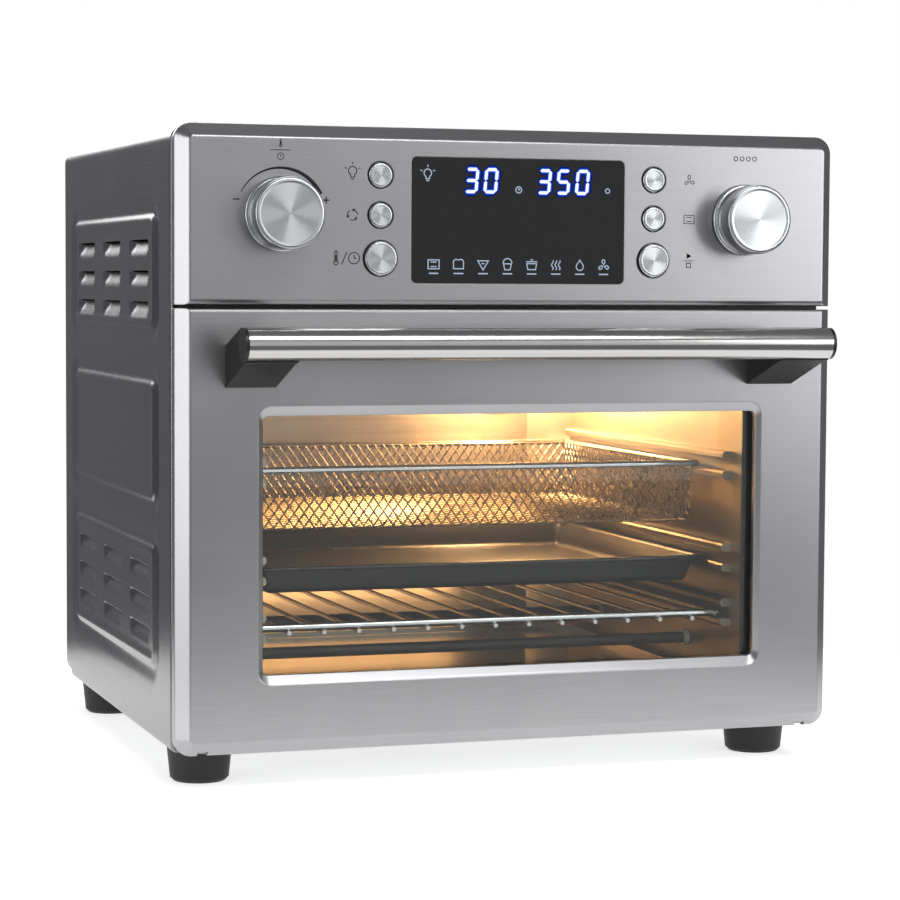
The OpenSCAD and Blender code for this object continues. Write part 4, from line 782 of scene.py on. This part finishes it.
# Beside the left buttons: lamp, turning, and heat or time
mark_x = light_x - 16.4
bulb_mark(work, mark_x, light_z + 1.2, 8.0, PLAIN)
turn_mark(work, mark_x, turn_z, 7.0, PLAIN)
heat_mark(work, mark_x - 9.6, mode_z, 8.0, PLAIN)
ribbon(work, [(mark_x - 6.2, mode_z - 3.4), (mark_x - 3.2, mode_z + 3.4)], PLAIN)
clock_mark(work, mark_x + 1.0, mode_z, 7.6, PLAIN)
# Beside the right buttons: moving air, still air, and start over stop
mark_x = fry_x + 22.5
fan_mark(work, mark_x, fry_z, 6.5, THIN)
oven_mark(work, mark_x, bake_z, 6.4, THIN)
start_mark(work, mark_x, start_z, 6.0, THIN)
# Over the knobs: heat over time at the left, and the four kinds of cooking at the right
heat_mark(work, left_x, knob_z + 39.3, 4.6, FINE)
ribbon(work, [(left_x - 6, knob_z + 35.4), (left_x + 6, knob_z + 35.4)], FINE)
clock_mark(work, left_x, knob_z + 31.9, 4.4, FINE)
for x in (-6, -2, 2, 6):
    ribbon(work, ring(right_x + x, knob_z + 35.9, 1.25, 0, 330, 11), THIN, True)
# Minus and plus at the ends of an arc that grows thicker as the knob turns up
SIGN_HALF = 1.9
minus_x, plus_x, minus_z, plus_z = left_x - 25.3, left_x + 26.3, knob_z + 7.9, knob_z + 8.0
ribbon(work, [(minus_x - SIGN_HALF, minus_z), (minus_x + SIGN_HALF, minus_z)], BOLD)
ribbon(work, [(plus_x - SIGN_HALF, plus_z), (plus_x + SIGN_HALF, plus_z)], BOLD)
ribbon(work, [(plus_x, plus_z - SIGN_HALF), (plus_x, plus_z + SIGN_HALF)], BOLD)
ARC_R, ARC_STEPS = 25.6, 48
sweep = ring(left_x, knob_z, ARC_R, 152, 26, ARC_STEPS)
ribbon(work, sweep, [0.5 + 2.0 * (i / ARC_STEPS) ** 1.2 for i in range(ARC_STEPS + 1)])
bmesh.ops.recalc_face_normals(work, faces=work.faces)
ink = moulded("pad_printed_ink", "#2A2B2D", 0.6, 0.6, 0.05)
thicken(to_object("fascia_marks", work, ink, "oven"), INK_THICK, 1.0)

# ---- Display ----
# Black glass over a module of white segments and pictograms, with a blue backlight that bleeds round them.
# The glass is dark and glossy, so only what is lit shows.
lens_low, lens_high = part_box("display_lens")
GLASS = (FRONT - lens_low.y) / MM
GLYPH_THICK = 0.008
DIGIT_W, DIGIT_H, DIGIT_STEP, DIGIT_LEAN = 8.3, 14.6, 11.7, 0.09
SEGMENT = 1.9
SHAPES = {"0": "abcdef", "3": "abcdg", "5": "acdfg"}
# Painted glass: almost black, with a mirror gloss and no grain
finish_node("display_lens", moulded("black_display_glass", "#06070B", 0.06, 50.0, 0.0))
# Nylon body of the module: dark, with a low satin sheen
finish_node("display_module", moulded("moulded_module_body", "#16181F", 0.4, 1.0, 0.05))


def digit(work, figure, x, z, width, level):
    """Seven segment figure with its lower left corner at x, z."""
    w, h = DIGIT_W - SEGMENT, DIGIT_H - SEGMENT
    m = h / 2
    gap = 0.35 + SEGMENT * 0.32
    ends = {"a": ((gap, h), (w - gap, h)), "g": ((gap, m), (w - gap, m)), "d": ((gap, 0), (w - gap, 0)),
            "f": ((0, m + gap), (0, h - gap)), "b": ((w, m + gap), (w, h - gap)),
            "e": ((0, gap), (0, m - gap)), "c": ((w, gap), (w, m - gap))}
    for name in SHAPES[figure]:
        (ax, az), (bx, bz) = ends[name]
        along = Vector((bx - ax, bz - az)).normalized() * width / 2
        across = Vector((-along.y, along.x))
        outline = []
        for end, s in ((Vector((ax, az)), -1), (Vector((bx, bz)), 1)):
            outline += [end + across * s, end + along * s * 0.9, end - across * s]
        corner_x, corner_z = x + SEGMENT / 2, z + SEGMENT / 2
        patch(work, [(corner_x + p.x + DIGIT_LEAN * p.y, corner_z + p.y) for p in outline], level)


def lit(name, colour, strength):
    """Light that leaves a lit segment or its halo in the glass."""
    material, tree = new_material(name)
    cloud = add(tree, "TexNoise", {"Scale": 1.0}, {"Vector": metres(tree, (900, 900, 900))})
    level = add(tree, "MapRange", {"To Min": strength * 0.92, "To Max": strength * 1.08}, {"Value": cloud})
    shine = add(tree, "Emission", {"Color": linear(colour)}, {"Strength": level})
    add(tree, "OutputMaterial", {}, {"Surface": shine})
    return material


glyph_z = lens_low.z / MM + 4
digit_z = glyph_z + 51.0
figures = [(figure, first + i * DIGIT_STEP)
           for first, number in ((-33.8, "30"), (10.3, "350")) for i, figure in enumerate(number)]
# Each layer lies a little before the one below it: a wide dim halo, a bright one, and the segments
for name, width, level, colour, strength in (
        ("digit_halo_wide", SEGMENT + 3.2, 0.01, "#0B1E6A", 1.0),
        ("digit_halo", SEGMENT + 1.3, 0.02, "#2450D8", 1.0),
        ("digit_segments", SEGMENT - 0.15, 0.03, "#EAF2FF", 1.3)):
    work = bmesh.new()
    for figure, x in figures:
        digit(work, figure, x, digit_z, width, GLASS + level)
    bmesh.ops.recalc_face_normals(work, faces=work.faces)
    glyphs = to_object(name, work, lit("lit_" + name, colour, strength), "oven")
    thicken(glyphs, GLYPH_THICK, -1.0)

ICON_STEP, ICON_LINE, ICON_LEVEL = 14.77, 0.62, GLASS + 0.03
BAR_DROP, BAR_LINE = 5.1, 0.75


def food_marks(work, x, z, line, level):
    """Seven plain pictograms in a row: bread, slice, cup, pot, warmth, drop and fan."""
    at = [x + i * ICON_STEP for i in range(7)]
    ribbon(work, [(at[0] - 3, z - 2.4), (at[0] + 3, z - 2.4), (at[0] + 3, z + 0.6)] +
           ring(at[0] + 1.4, z + 1.2, 1.7, 0, 120, 5) + ring(at[0] - 1.4, z + 1.2, 1.7, 60, 180, 5) +
           [(at[0] - 3, z + 0.6)], line, True, level)
    ribbon(work, [(at[1] - 3.2, z + 2.2), (at[1], z - 3), (at[1] + 3.2, z + 2.2)], line, True, level)
    ribbon(work, [(at[1] - 1, z + 0.6), (at[1] + 0.9, z + 0.6)], line, False, level)
    ribbon(work, [(at[2] - 2.4, z + 0.6), (at[2] - 1.6, z - 2.8),
                  (at[2] + 1.6, z - 2.8), (at[2] + 2.4, z + 0.6)], line, True, level)
    ribbon(work, ring(at[2], z + 0.9, 2.7, 0, 180, 10), line, False, level)
    ribbon(work, [(at[3] - 3, z + 0.8), (at[3] - 2.4, z - 2.6), (at[3] + 2.4, z - 2.6), (at[3] + 3, z + 0.8)],
           line, True, level)
    ribbon(work, [(at[3] - 3.4, z + 1.9), (at[3] + 3.4, z + 1.9)], line, False, level)
    ribbon(work, [(at[3] - 0.8, z + 3), (at[3] + 0.8, z + 3)], line, False, level)
    for shift in (-2.1, 0, 2.1):
        wave = [(at[4] + shift + 0.6 * math.sin(t * 1.25), z - 2.8 + 0.8 * t) for t in range(8)]
        ribbon(work, wave, line, False, level)
    ribbon(work, [(at[5], z + 3)] + ring(at[5], z - 0.7, 2.2, 20, -200, 12), line, True, level)
    fan_mark(work, at[6], z, 6.8, line, level)
    for place in at:
        ribbon(work, [(place - 2.9, z - BAR_DROP), (place + 2.9, z - BAR_DROP)], BAR_LINE, False, level)


work = bmesh.new()
icon_z = glyph_z + 10.6
food_marks(work, -36.7, icon_z, ICON_LINE, ICON_LEVEL)
oven_mark(work, -51.6, icon_z, 6.6, ICON_LINE, ICON_LEVEL)
ribbon(work, [(-54.4, icon_z - BAR_DROP), (-48.8, icon_z - BAR_DROP)], BAR_LINE, False, ICON_LEVEL)
# The lamp at the top left, a clock after the minutes, and a degree ring after the heat
bulb_mark(work, -55.3, glyph_z + 61.2, 7.4, ICON_LINE, ICON_LEVEL)
clock_mark(work, -0.6, digit_z + 2.4, 4.2, ICON_LINE, ICON_LEVEL)
ribbon(work, ring(54.0, digit_z + 2.6, 1.3, 0, 330, 11), ICON_LINE, True, ICON_LEVEL)
bmesh.ops.recalc_face_normals(work, faces=work.faces)
icons = to_object("display_pictograms", work, lit("lit_pictograms", "#B9C9E0", 0.85), "oven")
thicken(icons, GLYPH_THICK, -1.0)

# ---- Knobs and buttons ----
# Caps turned from aluminium bar, each with a faced end and an eased rim. The knobs have a collar at the
# foot and press onto the encoders. The buttons are held by a flange, and their stems reach the switches.


def turned_aluminium(name, colour, roughness):
    """Turned and clear anodised aluminium: tool rings spread each highlight into a fan about the axis."""
    material, tree = new_material(name)
    swirl = add(tree, "Tangent", {"direction_type": "RADIAL", "axis": "Y"})
    place = add(tree, "TexCoord")
    apart = add(tree, "SeparateXYZ", {}, {"Vector": place.outputs["Object"]})
    flat = add(tree, "CombineXYZ", {}, {"X": apart.outputs["X"], "Y": apart.outputs["Z"]})
    reach = add(tree, "VectorMath", {"operation": "LENGTH"}, {0: flat})
    # Real tool rings are 0.05 mm apart, drawn here at 0.6 mm so that they show
    rings = add(tree, "TexNoise", {"noise_dimensions": "1D", "Scale": 1 / (0.6 * MM), "Detail": 2.0},
                {"W": reach.outputs["Value"]})
    gloss = add(tree, "MapRange", {"To Min": roughness - 0.03, "To Max": roughness + 0.03}, {"Value": rings})
    metal = add(tree, "BsdfPrincipled", {"Base Color": linear(colour), "Metallic": 1.0, "Anisotropic": 0.95},
                {"Tangent": swirl, "Roughness": gloss})
    add(tree, "OutputMaterial", {}, {"Surface": metal})
    return material


def turned_cap(name, node, body, profile, material, steps=96):
    """Cap turned about the front's normal. The profile gives radius and depth behind the front, in mm."""
    x, z = middle_of(node)
    work = bmesh.new()
    rings = []
    for r, d in profile:
        count = steps if r > 0 else 1
        angles = [2 * math.pi * i / steps for i in range(count)]
        rings.append([work.verts.new((r * MM * math.cos(a), d * MM, r * MM * math.sin(a))) for a in angles])
    for a, b in zip(rings, rings[1:]):
        for i in range(steps):
            j = (i + 1) % steps
            if len(a) == 1:
                work.faces.new((a[0], b[i], b[j]))
            elif len(b) == 1:
                work.faces.new((a[i], b[0], a[j]))
            else:
                work.faces.new((a[i], b[i], b[j], a[j]))
    bmesh.ops.recalc_face_normals(work, faces=work.faces)
    to_object(name, work, material, body, [node], 35.0, (x * MM, FRONT, z * MM))


def cap_sizes(node):
    """A cap's face and stem, as depths behind the front, and its widest radius, in mm."""
    low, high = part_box(node)
    return (low.y - FRONT) / MM, (high.y - FRONT) / MM, (high.x - low.x) / 2 / MM


turned = turned_aluminium("turned_anodised_aluminium", "#C9CBCE", 0.25)
KNOB_STEM_R, BUTTON_STEM_R = 3.0, 2.0
for side in ("left", "right"):
    face, stem, collar = cap_sizes("knob_" + side)
    r = collar - 0.8
    # A face sunk 0.2 mm inside its eased rim, the grip, a groove, and the collar against the fascia
    profile = [(0, face + 0.2), (r - 3.4, face + 0.2), (r - 3.2, face + 0.2), (r - 2.6, face + 0.06)]
    profile += [(r - 2.0, face), (r - 1.2, face + 0.1), (r - 0.55, face + 0.45), (r - 0.15, face + 1.0)]
    profile += [(r, face + 1.8), (r, -6.2), (r - 0.3, -5.6), (r - 0.9, -5.4), (r - 0.9, -4.2)]
    profile += [(r - 0.4, -3.5), (collar - 0.3, -3.2), (collar, -2.8), (collar, -1.0), (collar - 0.2, -0.8)]
    profile += [(KNOB_STEM_R, -0.8), (KNOB_STEM_R, stem), (0, stem)]
    turned_cap("turned_knob_" + side, "knob_" + side, side + "_knob", profile, turned)
for name in ("light", "turn", "mode", "fry", "bake", "start"):
    face, stem, flange = cap_sizes("button_" + name)
    r = flange - 1.0
    # A face sunk 0.1 mm inside its eased rim, and a flange that holds the cap behind the fascia
    profile = [(0, face + 0.1), (r - 2.0, face + 0.1), (r - 1.8, face + 0.1), (r - 1.3, face)]
    profile += [(r - 0.7, face + 0.1), (r - 0.25, face + 0.4), (r, face + 0.9), (r, 2.1), (flange, 2.1)]
    profile += [(flange, 3.0), (BUTTON_STEM_R, 3.0), (BUTTON_STEM_R, stem), (0, stem)]
    turned_cap("turned_button_" + name, "button_" + name, "push_" + name, profile, turned, 64)

# ---- Boards ----
# Two glass epoxy boards behind the fascia carry the switches, encoders and relays.
# They are printed with green solder mask, which is smooth and a little glossy.
board = moulded("printed_solder_mask", "#1E5A32", 0.35, 2.0, 0.05)
for name in ("control_board", "power_board"):
    finish_node(name, board)

low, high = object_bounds()
